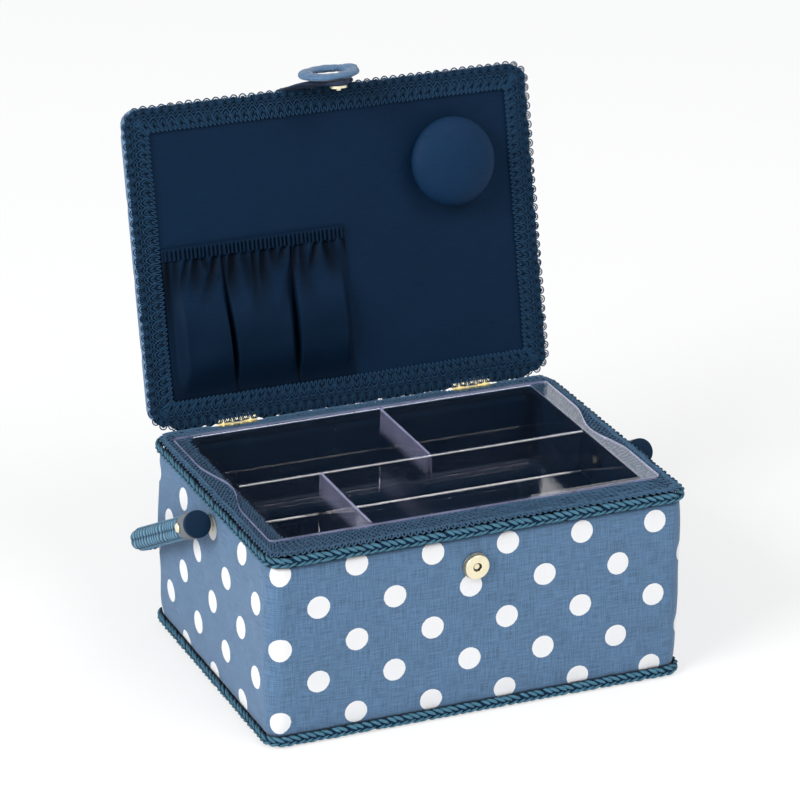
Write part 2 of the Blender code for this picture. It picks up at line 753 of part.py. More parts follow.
def make_tray():
    """Moulded tray: drafted walls, end flanges, a long divider and two cross dividers."""
    middle = (0.0, OPENING_CENTRE_Y, 0.0)
    outer = [
        tray_loop(TRAY_DRAFT + FLOOR_FILLET, TRAY_BOTTOM),
        tray_loop(TRAY_DRAFT + FLOOR_FILLET * 0.3, TRAY_BOTTOM + FLOOR_FILLET * 0.3),
        tray_loop(TRAY_DRAFT, TRAY_BOTTOM + FLOOR_FILLET),
        tray_loop(0.0, TRAY_TOP - FLANGE_THICKNESS / 2),
    ]
    tray = stacked("tray", outer, clear_plastic(), location=middle)
    levels = (TRAY_TOP - FLANGE_THICKNESS, TRAY_TOP)
    plate_loops = [[(x, y, height) for x, y in flange_outline()] for height in levels]
    plate = as_cutter(stacked("add_flange_plate", plate_loops, clear_plastic(), location=middle))
    combine(tray, plate, "UNION")
    above = TRAY_TOP + CUT_OVERRUN
    well = [tray_loop(TRAY_WALL, TRAY_TOP - DIVIDER_DROP), tray_loop(TRAY_WALL, above)]
    cut(tray, as_cutter(stacked("cut_tray_well", well, board_card(), location=middle)))
    floor = TRAY_BOTTOM + TRAY_FLOOR
    for name, (low, high) in compartments().items():
        cut(tray, compartment_cutter(f"cut_{name}", low, high, floor, TRAY_TOP - DIVIDER_DROP / 2))


def box_leaf_step_y():
    """Where the box leaf steps down behind the rim frame."""
    return BOX_DEPTH / 2 - FRAME_INSET - GAP - LEAF_THICKNESS / 2


def box_leaf_end_y():
    """Front end of the box leaf, just short of the opening."""
    return OPENING_REAR + LEAF_END_MARGIN


def offset_path(path, distance):
    """Move a path of (forward, height) points sideways, with mitred corners."""
    moved = []
    for index, point in enumerate(path):
        before = Vector(path[max(index - 1, 0)])
        here = Vector(point)
        after = Vector(path[min(index + 1, len(path) - 1)])
        first = (here - before).normalized() if index else (after - here).normalized()
        second = (after - here).normalized() if index < len(path) - 1 else first
        normal = (Vector((-first.y, first.x)) + Vector((-second.y, second.x))).normalized()
        stretch = distance / normal.dot(Vector((-first.y, first.x)))
        moved.append((here.x + normal.x * stretch, here.y + normal.y * stretch))
    return moved


def leaf_outline(path):
    """Section of a hinge leaf that leaves the underside of its barrel along a path."""
    lower = offset_path(path, -LEAF_THICKNESS / 2)
    upper = offset_path(path, LEAF_THICKNESS / 2)
    meet_height = upper[0][1]
    meet = math.sqrt(BARREL_RADIUS ** 2 - meet_height ** 2)
    start = math.degrees(math.atan2(meet_height, meet))
    barrel = arc((0.0, 0.0), BARREL_RADIUS, start, 270, SMALL_STEPS)
    return lower + upper[:0:-1] + barrel[:-1]


def make_leaf(name, side, outline, gaps, screw_forward, screw_height, up, parent):
    """Hinge leaf: its section drawn out along the hinge, with knuckle gaps, bore and holes."""
    half = HINGE_WIDTH / 2
    loops = [[(x, -forward, height) for forward, height in outline] for x in (-half, half)]
    place = (side * HINGE_X, 0.0, 0.0) if parent else (side * HINGE_X, HINGE_Y, HINGE_Z)
    leaf = stacked(name, loops, brass(), parent, place)
    reach = BARREL_RADIUS + GAP
    for index, (low, high) in enumerate(gaps):
        low_corner = (place[0] + low, place[1] - reach, place[2] - reach)
        high_corner = (place[0] + high, place[1] + reach, place[2] + reach)
        cut(leaf, box_cutter(f"cut_{name}_{index}", low_corner, high_corner, parent))
    bore = HINGE_PIN_RADIUS + RUNNING_GAP
    cut(leaf, round_cutter(f"cut_{name}_bore", bore, 2 * HINGE_WIDTH, place, (0, 90, 0), parent))
    wide = SCREW_HEAD_RADIUS + GAP
    narrow = SCREW_SHANK_RADIUS + GAP
    profile = [
        (0, -LEAF_THICKNESS - GAP), (narrow, -LEAF_THICKNESS - GAP), (narrow, -LEAF_THICKNESS),
        (wide, 0), (wide, GAP), (0, GAP),
    ]
    for index, offset in enumerate((-SCREW_SPREAD / 2, SCREW_SPREAD / 2)):
        spot = (place[0] + offset, place[1] - screw_forward, place[2] + screw_height)
        turn = (0, 0, 0) if up else (180, 0, 0)
        sink = turned(f"cut_{name}_sink_{index}", profile, board_card(), parent, spot, turn, SMALL_STEPS)
        cut(leaf, as_cutter(sink))
    return leaf


def screw_spots():
    """Side of the hinge and offset along it for each of four screws."""
    return [(side, offset) for side in (-1, 1) for offset in (-SCREW_SPREAD / 2, SCREW_SPREAD / 2)]


def make_screws(label, length, forward, height, up, parent, location):
    """Countersunk screws of both hinges on one side of the joint."""
    turn = 1 if up else -1
    profile = [
        (0, 0), (SCREW_HEAD_RADIUS, 0), (SCREW_SHANK_RADIUS, -turn * LEAF_THICKNESS),
        (SCREW_SHANK_RADIUS, -turn * (length - SCREW_SHANK_RADIUS)), (0, -turn * length),
    ]
    for number, (side, offset) in enumerate(screw_spots(), start=1):
        place = (location[0] + side * HINGE_X + offset, location[1] - forward, location[2] + height)
        turned(f"{label}_{number}", profile, brass(), parent, place, steps=SMALL_STEPS)


def screw_pilots(item, label, length, forward, height, up, parent, location):
    """Cut the holes that the screws go into."""
    turn = 1 if up else -1
    radius = SCREW_SHANK_RADIUS + GAP
    for number, (side, offset) in enumerate(screw_spots(), start=1):
        place = (
            location[0] + side * HINGE_X + offset,
            location[1] - forward,
            location[2] + height - turn * length / 2,
        )
        cut(item, round_cutter(f"cut_{label}_{number}", radius, length + 2 * GAP, place, parent=parent))


def make_hinges(frame, rear_board, lid_board, lid_pivot):
    """Two small butt hinges: box leaves, lid leaves, pins and screws."""
    mid_radius = BARREL_RADIUS - LEAF_THICKNESS / 2
    seat = FRAME_TOP - LEAF_THICKNESS / 2 - HINGE_Z
    step = HINGE_Y - box_leaf_step_y()
    end = HINGE_Y - box_leaf_end_y()
    box_path = [(0.0, -mid_radius), (step, -mid_radius), (step, seat), (end, seat)]
    plate = LID_PLANE_RISE + LEAF_THICKNESS / 2
    lid_path = [
        (0.0, -mid_radius), (LID_LEAF_NECK, -mid_radius),
        (LID_LEAF_NECK + LID_LEAF_RAMP, -plate), (LID_LEAF_LENGTH, -plate),
    ]
    box_outline = leaf_outline(box_path)
    lid_outline = [(forward, -height) for forward, height in leaf_outline(lid_path)]
    half = HINGE_WIDTH / 2 + GAP
    inner = HINGE_KNUCKLE / 2
    box_gaps = [(-inner - GAP, inner + GAP)]
    lid_gaps = [(-half, -inner), (inner, half)]
    screw_y = BOX_DEPTH / 2 - BOARD_OUTER_INSET - BOARD_THICKNESS / 2
    box_forward = HINGE_Y - screw_y
    box_height = FRAME_TOP - HINGE_Z
    for side, name in ((-1, "left"), (1, "right")):
        make_leaf(f"box_leaf_{name}", side, box_outline, box_gaps, box_forward, box_height, True, None)
        make_leaf(f"lid_leaf_{name}", side, lid_outline, lid_gaps, LID_SCREW_INSET,
                  LID_PLANE_RISE, False, lid_pivot)
        make_hinge_pin(f"hinge_pin_{name}", side)
    axis = (0.0, HINGE_Y, HINGE_Z)
    make_screws("box_screw", BOX_SCREW_LENGTH, box_forward, box_height, True, None, axis)
    screw_pilots(frame, "pilot_frame", BOX_SCREW_LENGTH, box_forward, box_height, True, None, axis)
    screw_pilots(rear_board, "pilot_board", BOX_SCREW_LENGTH, box_forward, box_height, True, None, axis)
    make_screws("lid_screw", LID_SCREW_LENGTH, LID_SCREW_INSET, LID_PLANE_RISE, False,
                lid_pivot, (0, 0, 0))
    screw_pilots(lid_board, "pilot_lid", LID_SCREW_LENGTH, LID_SCREW_INSET, LID_PLANE_RISE, False,
                 lid_pivot, (0, 0, 0))


def make_hinge_pin(name, side):
    """Pin through the knuckles, headed at both ends."""
    half = HINGE_WIDTH / 2 + GAP
    top = half + HINGE_PIN_HEAD
    upper = [
        (HINGE_PIN_RADIUS, half), (HINGE_PIN_HEAD_RADIUS, half),
        (HINGE_PIN_HEAD_RADIUS, top), (0, top),
    ]
    profile = [(radius, -height) for radius, height in reversed(upper)] + upper
    place = (side * HINGE_X, HINGE_Y, HINGE_Z)
    turned(name, profile, brass(), None, place, (0, 90, 0), SMALL_STEPS)


def domed_levels(inset, drop):
    """Loops over the rounded edge and crown of the lid, moved in and down by two amounts."""
    rounding = LID_EDGE_ROUNDING - drop
    start = LID_TOP - LID_EDGE_ROUNDING
    loops = [lid_loop(inset, start)]
    for step in range(1, 5):
        angle = math.radians(90 * step / 4)
        loops.append(lid_loop(inset + rounding * (1 - math.cos(angle)), start + rounding * math.sin(angle)))
    edge = inset + rounding
    top = start + rounding
    for inset_share, rise_share in LID_CROWN_SHARES:
        loops.append(lid_loop(edge + inset_share * LID_HALF_Y, top + rise_share * LID_CROWN))
    return loops


def make_lid_shell(lid_pivot):
    """Lid cover as a shell over the wadding and board, which it wraps to the underside."""
    outer = [lid_loop(0.0, LID_SKIRT_BOTTOM)] + domed_levels(0.0, 0.0)
    inner = [lid_loop(LID_COVER_THICKNESS, LID_SKIRT_BOTTOM)]
    inner += domed_levels(LID_COVER_THICKNESS, LID_COVER_THICKNESS)
    stacked("lid_cover", outer[::-1] + inner, denim_dots(), lid_pivot)
    inset = LID_COVER_THICKNESS + GAP
    wadding = [lid_loop(inset, LID_BOARD_TOP + GAP)] + domed_levels(inset, inset)
    stacked("lid_wadding", wadding, wadding_white(), lid_pivot)


def make_lid_flats(lid_pivot):
    """Lid board, lining sheet and the braid round its edge."""
    inset = LID_COVER_THICKNESS + GAP
    board_loops = [lid_loop(inset, height) for height in (LID_BOARD_BOTTOM, LID_BOARD_TOP)]
    board = stacked("lid_board", board_loops, board_card(), lid_pivot)
    levels = (LID_PLANE_RISE, LID_PLANE_RISE + LID_LINING_THICKNESS)
    lining = stacked("lid_lining", [lid_loop(inset, height) for height in levels], navy_cloth(), lid_pivot)
    low = LID_BRAID_TOP - LID_BRAID_THICKNESS
    loops = [lid_loop(LID_BRAID_MARGIN, height) for height in (low, LID_BRAID_TOP)]
    loops += [lid_loop(LID_BRAID_INNER_INSET, height) for height in (LID_BRAID_TOP, low)]
    braid = band("lid_braid", loops, navy_braid(), lid_pivot)
    half = HINGE_WIDTH / 2 + GAP
    for side, name in ((-1, "left"), (1, "right")):
        left = side * HINGE_X - half
        right = side * HINGE_X + half
        notch = box_cutter(
            f"cut_lining_{name}",
            (left, -LID_LEAF_LENGTH - GAP, LID_BRAID_TOP - GAP / 2),
            (right, CUT_OVERRUN, LID_BOARD_BOTTOM - GAP / 2),
            lid_pivot,
        )
        cut(lining, notch)
        ramp_end = LID_LEAF_NECK + LID_LEAF_RAMP + LEAF_THICKNESS + GAP
        relief = box_cutter(
            f"cut_lid_braid_{name}",
            (left, -ramp_end, low - GAP),
            (right, CUT_OVERRUN, LID_BOARD_BOTTOM - GAP / 2),
            lid_pivot,
        )
        cut(braid, relief)
    return board


def pocket_left():
    """Left edge of the pocket, against the lid's braid."""
    return -(LID_HALF_X - LID_BRAID_INNER_INSET) + GAP


def pocket_height(across, up):
    """Height of the pocket's cloth over the lining, from shares across its width and height.

    Two stitched divisions part it in three. It is fullest low down and tight under the
    header, from which gathers run down and fade. Its left edge stays flat as far as the
    tray's wall, which lies under it when the lid is shut.
    """
    flat_share = (-(TRAY_HALF_X - TRAY_WALL) - pocket_left()) / (POCKET_RIGHT_X - pocket_left())
    inward = min(across - max(flat_share, 0.0), 1 - across)
    side = smooth_step(inward / POCKET_SIDE_RAMP_SHARE)
    if up > POCKET_HEADER_SHARE:
        return POCKET_SEAM_HEIGHT + (POCKET_HEADER_HEIGHT - POCKET_SEAM_HEIGHT) * side
    for division in POCKET_DIVISION_SHARES:
        side *= smooth_step(abs(across - division) / POCKET_DIVISION_WIDTH_SHARE) ** 0.5
    fall = (up - POCKET_FULL_SHARE) / (POCKET_TIGHT_SHARE - POCKET_FULL_SHARE)
    swell = smooth_step(up / POCKET_FULL_SHARE) * (1 - smooth_step(fall))
    bulge = POCKET_BULGE * swell + POCKET_TOP_BULGE * smooth_step(up / POCKET_TIGHT_SHARE)
    fade = math.exp(-(1 - up) / POCKET_GATHER_FADE_SHARE)
    gather = POCKET_GATHER_DEPTH * fade * math.cos(2 * math.pi * POCKET_GATHERS * across)
    return POCKET_SEAM_HEIGHT + (bulge + gather) * side


def make_pocket(lid_pivot):
    """Gathered cloth pocket sewn to the lining on three sides, open at its header."""
    left = pocket_left()
    start = LID_REAR_GAP + LID_BRAID_INNER_INSET + GAP
    front = []
    back = []
    for row in range(POCKET_ROWS + 1):
        up = row / POCKET_ROWS
        front_line = []
        back_line = []
        for column in range(POCKET_COLUMNS + 1):
            across = column / POCKET_COLUMNS
            x = left + (POCKET_RIGHT_X - left) * across
            y = -(start + POCKET_HEIGHT * up)
            height = pocket_height(across, up)
            inner = max(height - POCKET_CLOTH, GAP)
            front_line.append((x, y, LID_PLANE_RISE - height))
            back_line.append((x, y, LID_PLANE_RISE - inner))
        front.append(front_line)
        back.append(back_line)
    between_grids("pocket", front, back, navy_cloth(), lid_pivot)


def cushion_rings():
    """Rings of the cushion from its neck to near its crown: radius, height, gather depth."""
    rings = []
    for radius_share, height_share, gather_share in CUSHION_RING_SHARES:
        radius = CUSHION_NECK_RADIUS + (CUSHION_RADIUS - CUSHION_NECK_RADIUS) * radius_share
        rings.append((radius, CUSHION_HEIGHT * height_share, CUSHION_GATHER * gather_share))
    widest, level, _ = rings[-1]
    for share in CUSHION_CROWN_ANGLE_SHARES:
        angle = math.pi / 2 * share
        rings.append((widest * math.cos(angle), level + (CUSHION_HEIGHT - level) * math.sin(angle), 0.0))
    return rings


def make_cushion(lid_pivot):
    """Round pin cushion: drawn in and gathered at the lining, with a full crown."""
    seat = LID_PLANE_RISE - GAP
    place = (CUSHION_X, -CUSHION_FORWARD, seat)
    profile = [
        (0, 0), (CUSHION_BASE_RADIUS, 0),
        (CUSHION_BASE_RADIUS, -CUSHION_BASE_THICKNESS), (0, -CUSHION_BASE_THICKNESS),
    ]
    turned("cushion_base", profile, board_card(), lid_pivot, place)
    start = -CUSHION_BASE_THICKNESS - GAP
    loops = []
    for radius, height, gather in cushion_rings():
        loop = []
        for step in range(CUSHION_STEPS):
            angle = 2 * math.pi * step / CUSHION_STEPS
            reach = radius - gather * (0.5 + 0.5 * math.cos(CUSHION_GATHERS * angle))
            loop.append((reach * math.cos(angle), reach * math.sin(angle), start - height))
        loops.append(loop)
    verts = [point for loop in loops for point in loop]
    faces = skin(loops, CUSHION_STEPS)
    faces.append(tuple(range(CUSHION_STEPS))[::-1])
    crown = len(verts)
    verts.append((0.0, 0.0, start - CUSHION_HEIGHT))
    last = crown - CUSHION_STEPS
    for step in range(CUSHION_STEPS):
        faces.append((last + step, last + (step + 1) % CUSHION_STEPS, crown))
    add_solid("pin_cushion", verts, faces, navy_cloth(), lid_pivot, place)


def snap_cover_y(radius):
    """Furthest that the front cover stands out behind a disc of this radius at the snap."""
    spots = (SNAP_HEIGHT - radius, SNAP_HEIGHT, SNAP_HEIGHT + radius)
    return BOX_DEPTH / 2 - min(cover_inset(height) for height in spots)


def snap_levels():
    """Distances in front of the box centre: backing seat, shell seat and shell face."""
    backing = snap_cover_y(SNAP_BACKING_RADIUS) + GAP
    shell = backing + SNAP_BACKING_THICKNESS + GAP
    return backing, shell, shell + SNAP_SHELL_DEPTH


def make_snap():
    """Box half of the magnetic snap, through the front wall to a washer behind the board."""
    backing, shell, face = snap_levels()
    turn = (90, 0, 0)
    hole = SNAP_SHANK_RADIUS + GAP
    top = SNAP_BACKING_THICKNESS
    profile = [(SNAP_BACKING_RADIUS, 0), (SNAP_BACKING_RADIUS, top), (hole, top), (hole, 0)]
    turned("snap_backing", profile, steel(), None, (CLOSURE_X, -backing, SNAP_HEIGHT), turn)
    outer = SNAP_SHELL_RADIUS
    wall = SNAP_SHELL_WALL
    deep = SNAP_SHELL_DEPTH
    profile = [
        (outer, 0), (outer, deep - wall), (outer - wall, deep), (SNAP_HOLE_RADIUS, deep),
        (SNAP_HOLE_RADIUS, deep - wall), (outer - wall, deep - wall), (outer - wall, 0),
    ]
    turned("snap_shell", profile, brass(), None, (CLOSURE_X, -shell, SNAP_HEIGHT), turn)
    rim = outer - wall - GAP
    top = deep - wall - GAP
    profile = [(rim, 0), (rim, top), (SNAP_MAGNET_BORE, top), (SNAP_MAGNET_BORE, 0)]
    turned("snap_magnet", profile, steel(), None, (CLOSURE_X, -shell, SNAP_HEIGHT), turn, SMALL_STEPS)
    board_back = BOX_DEPTH / 2 - BOARD_INNER_INSET
    washer_low = GAP / 2
    washer_high = washer_low + SNAP_WASHER_THICKNESS
    profile = [
        (SNAP_WASHER_RADIUS, washer_low), (SNAP_WASHER_RADIUS, washer_high),
        (hole, washer_high), (hole, washer_low),
    ]
    turned("snap_washer", profile, steel(), None, (CLOSURE_X, -board_back, SNAP_HEIGHT), turn, SMALL_STEPS)
    head_base = shell - board_back
    head_top = face - SNAP_POST_RECESS - board_back
    profile = [
        (0, washer_low), (SNAP_SHANK_RADIUS, washer_low), (SNAP_SHANK_RADIUS, head_base),
        (SNAP_POST_RADIUS, head_base), (SNAP_POST_RADIUS, head_top), (0, head_top),
    ]
    turned("snap_post", profile, brass(), None, (CLOSURE_X, -board_back, SNAP_HEIGHT), turn, SMALL_STEPS)


def tab_standoff():
    """Distance of the strap's middle in front of its flex line, so that the snap meets."""
    face = snap_levels()[2]
    strap_middle = face + SNAP_SEAT_GAP + STUD_THICKNESS + GAP + TAB_THICKNESS / 2
    return strap_middle - (BOX_DEPTH / 2 - LID_FRONT_INSET) - TAB_AXIS_OUT


def tab_stud_drop():
    """Distance from the flex line down to the stud, so that it meets the snap."""
    axis_height = HINGE_Z + LID_PLANE_RISE - TAB_AXIS_DROP
    return axis_height - SNAP_HEIGHT


def stitch_drop():
    """Distance from the flex line down to the line on which the ring is sewn."""
    return tab_stud_drop() + TAB_TIP_RADIUS - RING_TIP_MARGIN


def strap_half_width(drop, length):
    """Half width of the strap: broad at its root, narrow and round at its tip."""
    share = drop / (length - TAB_TIP_RADIUS)
    half = TAB_TIP_RADIUS + (TAB_ROOT_WIDTH / 2 - TAB_TIP_RADIUS) * (1 - smooth_step(share))
    past = drop - (length - TAB_TIP_RADIUS)
    if past > 0:
        half *= math.sqrt(max(1 - (past / TAB_TIP_RADIUS) ** 2, 0.02))
    return half


def make_strap(tab_pivot):
    """Padded strap that bows out from the lid and narrows to the snap."""
    standoff = tab_standoff()
    length = tab_stud_drop() + TAB_TIP_RADIUS
    inner = []
    outer = []
    for row in range(TAB_ROWS + 1):
        drop = length * math.sin(math.pi / 2 * row / TAB_ROWS)
        rise = standoff * smooth_step(drop / TAB_RISE)
        ahead = standoff * smooth_step((drop + GAP) / TAB_RISE)
        normal = Vector((GAP, ahead - rise)).normalized() * TAB_THICKNESS / 2
        half = strap_half_width(drop, length)
        inner_line = []
        outer_line = []
        for column in range(TAB_COLUMNS + 1):
            x = half * (2 * column / TAB_COLUMNS - 1)
            inner_line.append((x, -(rise - normal.x), -drop - normal.y))
            outer_line.append((x, -(rise + normal.x), -drop + normal.y))
        inner.append(inner_line)
        outer.append(outer_line)
    strap = between_grids("closure_tab", outer, inner, navy_cloth(), tab_pivot)
    stud_place = (0.0, -standoff, -tab_stud_drop())
    hole = round_cutter("cut_tab_shank", STUD_NUB_RADIUS + GAP, TAB_THICKNESS, stud_place, (90, 0, 0), tab_pivot)
    hole.location.y += TAB_THICKNESS / 2
    cut(strap, hole)


def make_ring(ring_pivot):
    """Padded ring pull, stitched to the tip of the strap along its lowest line."""
    band_half = RING_BAND / 2
    centre_radius = RING_RADIUS - band_half
    middle = GAP + RING_THICKNESS / 2
    loops = []
    for side in range(RING_SIDES):
        angle = 2 * math.pi * side / RING_SIDES
        radius = centre_radius + band_half * math.cos(angle)
        depth = RING_THICKNESS / 2 * math.sin(angle)
        loop = []
        for step in range(RING_STEPS):
            turn = 2 * math.pi * step / RING_STEPS
            loop.append((radius * math.cos(turn), -middle - depth, radius * math.sin(turn) + RING_RADIUS))
        loops.append(loop)
    band("tab_ring", loops, denim_dots(), ring_pivot)


def make_stud(tab_pivot):
    """Lid half of the snap: a disc with a nub that enters the socket and a shank in the strap."""
    strap_face = tab_standoff() - TAB_THICKNESS / 2
    disc_back = GAP
    disc_face = disc_back + STUD_THICKNESS
    nub = SNAP_SEAT_GAP + STUD_NUB_LENGTH
    shank = TAB_THICKNESS / 2 - GAP
    profile = [
        (0, -shank), (STUD_NUB_RADIUS, -shank), (STUD_NUB_RADIUS, disc_back),
        (STUD_RADIUS, disc_back), (STUD_RADIUS, disc_face), (STUD_NUB_RADIUS, disc_face),
        (STUD_NUB_RADIUS, disc_face + nub), (0, disc_face + nub),
    ]
    place = (0.0, -strap_face, -tab_stud_drop())
    turned("snap_stud", profile, brass(), tab_pivot, place, (-90, 0, 0))


def make_anchor(lid_pivot):
    """Patch that sews the strap to the front edge of the lid."""
    half = TAB_ROOT_WIDTH / 2
    low = LID_PLANE_RISE - TAB_AXIS_DROP + TAB_ANCHOR_GAP
    high = low + TAB_ANCHOR_HEIGHT
    near = LID_FRONT + GAP
    far = near + TAB_ANCHOR_THICKNESS
    bevel = TAB_ANCHOR_THICKNESS / 3
    section = [
        (near, low), (far, low), (far, high - bevel), (far - bevel, high), (near, high),
    ]
    loops = [[(x, -forward, height) for forward, height in section] for x in (-half, half)]
    stacked("tab_anchor", loops, navy_cloth(), lid_pivot, (CLOSURE_X, 0.0, 0.0))


def handle_path(start):
    """Points and directions along the bail, from one end to the other, in its own plane."""
    bend = HANDLE_BEND_RADIUS
    points = [(-HANDLE_ARM_X, start, 0.0, 1.0)]
    for step in range(BEND_STEPS + 1):
        angle = math.radians(180 - 90 * step / BEND_STEPS)
        x = -HANDLE_ARM_X + bend + bend * math.cos(angle)
        y = HANDLE_LENGTH - bend + bend * math.sin(angle)
        points.append((x, y, math.sin(angle), -math.cos(angle)))
    mirrored = [(-x, y, -along_x, along_y) for x, y, along_x, along_y in reversed(points)]
    return points + [(x, y, -along_x, -along_y) for x, y, along_x, along_y in mirrored]


def handle_rings(start, radius):
    """Round sections along the bail."""
    rings = []
    for x, y, along_x, along_y in handle_path(start):
        ring = []
        for side in range(HANDLE_SIDES):
            angle = 2 * math.pi * side / HANDLE_SIDES
            out = radius * math.cos(angle)
            ring.append((x + along_y * out, y - along_x * out, radius * math.sin(angle)))
        rings.append(ring)
    return rings


def make_handle(handle_pivot):
    """Bail: core, braided sleeve and end caps, with a rivet hole through each end."""
    core = stacked("handle_core", handle_rings(-SLEEVE_END, CORE_RADIUS), wadding_white(), handle_pivot)
    outer = handle_rings(-SLEEVE_END, SLEEVE_RADIUS)
    inner = handle_rings(-SLEEVE_END, SLEEVE_RADIUS - SLEEVE_WALL)
    sleeve = band("handle_sleeve", outer + inner[::-1], teal_cord(), handle_pivot)
    bore = SLEEVE_RADIUS + GAP
    profile = [
        (0, -CAP_NOSE - CAP_EDGE / 2), (CAP_RADIUS / 2, -CAP_NOSE - CAP_EDGE / 3),
        (CAP_RADIUS - CAP_EDGE, -CAP_NOSE), (CAP_RADIUS, -CAP_NOSE + CAP_EDGE),
        (CAP_RADIUS, CAP_SKIRT), (bore, CAP_SKIRT), (bore, -CAP_NOSE + CAP_FACE), (0, -CAP_NOSE + CAP_FACE),
    ]
    for side, name in ((-1, "left"), (1, "right")):
        place = (side * HANDLE_ARM_X, 0.0, 0.0)
        cap = turned(f"handle_cap_{name}", profile, dark_plastic(), handle_pivot, place, (-90, 0, 0))
        length = 2 * (CAP_RADIUS + CUT_OVERRUN)
        hole = round_cutter(f"cut_cap_{name}", RIVET_HOLE_RADIUS, length, place, (0, 90, 0), handle_pivot)
        cut(cap, hole)
        cut(sleeve, hole)
        cut(core, hole)


def make_pivots():
    """Rivet, outer spacer and inner washer at each handle pivot."""
    low = min(cover_inset(HANDLE_PIVOT_HEIGHT - SPACER_RADIUS), cover_inset(HANDLE_PIVOT_HEIGHT))
    wall = BOX_WIDTH / 2 - low + GAP
    arm = HANDLE_ARM_X - CAP_RADIUS - GAP
    inside = BOX_WIDTH / 2 - LINING_INNER_INSET - GAP
    head = HANDLE_ARM_X + CAP_RADIUS + GAP
    tail = inside - WASHER_THICKNESS - GAP
    for side, name in ((-1, "left"), (1, "right")):
        turn = (0, side * 90, 0)
        place = (0.0, 0.0, HANDLE_PIVOT_HEIGHT)
        spacer = [
            (SPACER_RADIUS, wall), (SPACER_RADIUS, arm), (RIVET_HOLE_RADIUS, arm), (RIVET_HOLE_RADIUS, wall),
        ]
        turned(f"handle_spacer_{name}", spacer, brass(), None, place, turn, SMALL_STEPS)
        washer = [
            (WASHER_RADIUS, inside - WASHER_THICKNESS), (WASHER_RADIUS, inside),
            (RIVET_HOLE_RADIUS, inside), (RIVET_HOLE_RADIUS, inside - WASHER_THICKNESS),
        ]
        turned(f"handle_washer_{name}", washer, brass(), None, place, turn, SMALL_STEPS)
        rivet = [
            (0, tail - RIVET_TAIL), (RIVET_TAIL_RADIUS, tail - RIVET_TAIL), (RIVET_TAIL_RADIUS, tail),
            (RIVET_SHAFT_RADIUS, tail), (RIVET_SHAFT_RADIUS, head), (RIVET_HEAD_RADIUS, head),
            (RIVET_HEAD_RADIUS * 0.85, head + RIVET_HEAD * 0.55),
            (RIVET_HEAD_RADIUS * 0.5, head + RIVET_HEAD * 0.9), (0, head + RIVET_HEAD),
        ]
        turned(f"handle_rivet_{name}", rivet, brass(), None, place, turn, SMALL_STEPS)


def main():
    clear_scene()
    rivet_cutters = {-1: rivet_cutter(-1, "cut_rivet_left"), 1: rivet_cutter(1, "cut_rivet_right")}
    shank_cutter = snap_cutter()
    make_base()
    rear_board = make_boards(rivet_cutters, shank_cutter)
    make_walls(rivet_cutters, shank_cutter)
    make_cord("bottom_cord", CORD_LIFT + CORD_HEIGHT / 2)
    make_cord("top_cord", RIM_HEIGHT - GAP - CORD_HEIGHT / 2)
    frame = make_rim()
    make_snap()
    make_pivots()
    make_tray()
    lid_pivot = empty("lid_pivot", (0.0, HINGE_Y, HINGE_Z), rotation_x=-LID_OPEN_ANGLE)
    make_lid_shell(lid_pivot)
    lid_board = make_lid_flats(lid_pivot)
    make_pocket(lid_pivot)
    make_cushion(lid_pivot)
    make_anchor(lid_pivot)
    make_hinges(frame, rear_board, lid_board, lid_pivot)
    tab_axis = (CLOSURE_X, -LID_FRONT - TAB_AXIS_OUT, LID_PLANE_RISE - TAB_AXIS_DROP)
    tab_pivot = empty("tab_pivot", tab_axis, lid_pivot)
    make_strap(tab_pivot)
    stitch_line = (0.0, -tab_standoff() - TAB_THICKNESS / 2, -stitch_drop())
    make_ring(empty("ring_pivot", stitch_line, tab_pivot))
    make_stud(tab_pivot)
    handle_pivot = empty("handle_pivot", (0.0, 0.0, HANDLE_PIVOT_HEIGHT), rotation_x=-HANDLE_REST_ANGLE)
    make_handle(handle_pivot)


main()
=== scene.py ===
"""Sewing box: fabrics, trims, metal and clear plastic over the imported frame, with its stage.

Lengths are in metres. +Z is up, +X is to the right seen from the front and +Y is to the rear.
The lid's pieces are worked out in the lid's own closed frame, whose origin is on the hinge
axis and whose -Y runs to the front, and are then turned to where the lid stands open.
"""

import bmesh
import bpy
import numpy as np
from mathutils import Matrix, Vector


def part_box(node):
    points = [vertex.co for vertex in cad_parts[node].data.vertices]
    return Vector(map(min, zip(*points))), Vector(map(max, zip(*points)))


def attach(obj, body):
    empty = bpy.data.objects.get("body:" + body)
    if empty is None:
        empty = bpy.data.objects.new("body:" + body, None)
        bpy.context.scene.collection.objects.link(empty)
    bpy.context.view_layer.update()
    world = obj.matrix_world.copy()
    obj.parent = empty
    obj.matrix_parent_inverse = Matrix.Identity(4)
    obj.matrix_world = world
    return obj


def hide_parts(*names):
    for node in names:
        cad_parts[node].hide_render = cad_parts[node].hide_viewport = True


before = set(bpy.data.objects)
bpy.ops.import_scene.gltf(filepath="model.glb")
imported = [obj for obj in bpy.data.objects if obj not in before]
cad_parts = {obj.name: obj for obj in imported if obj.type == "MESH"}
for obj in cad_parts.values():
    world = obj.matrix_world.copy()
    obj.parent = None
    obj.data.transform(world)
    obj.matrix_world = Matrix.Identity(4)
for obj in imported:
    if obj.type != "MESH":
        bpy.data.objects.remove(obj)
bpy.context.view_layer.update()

bl_info = {
    "name": "Sewing Box Dresser",
    "version": (1, 0, 0),
    "blender": (4, 5, 0),
    "location": "View3D > Sidebar > Sewing Box",
    "description": "Makes the fabrics, trims, metal and clear plastic of a sewing box",
    "category": "Object",
}

TURN = 2 * np.pi
GAP = 0.0003
UP = np.array([0.0, 0.0, 1.0])

# Rounded rectangles: half of the sides and the corner's radius
CASE = ((0.130, 0.095), 0.0125)
OPENING = ((0.1105, 0.0765), 0.0072)
LID = ((0.1265, 0.0930), 0.010)
LID_HALF = LID[0]

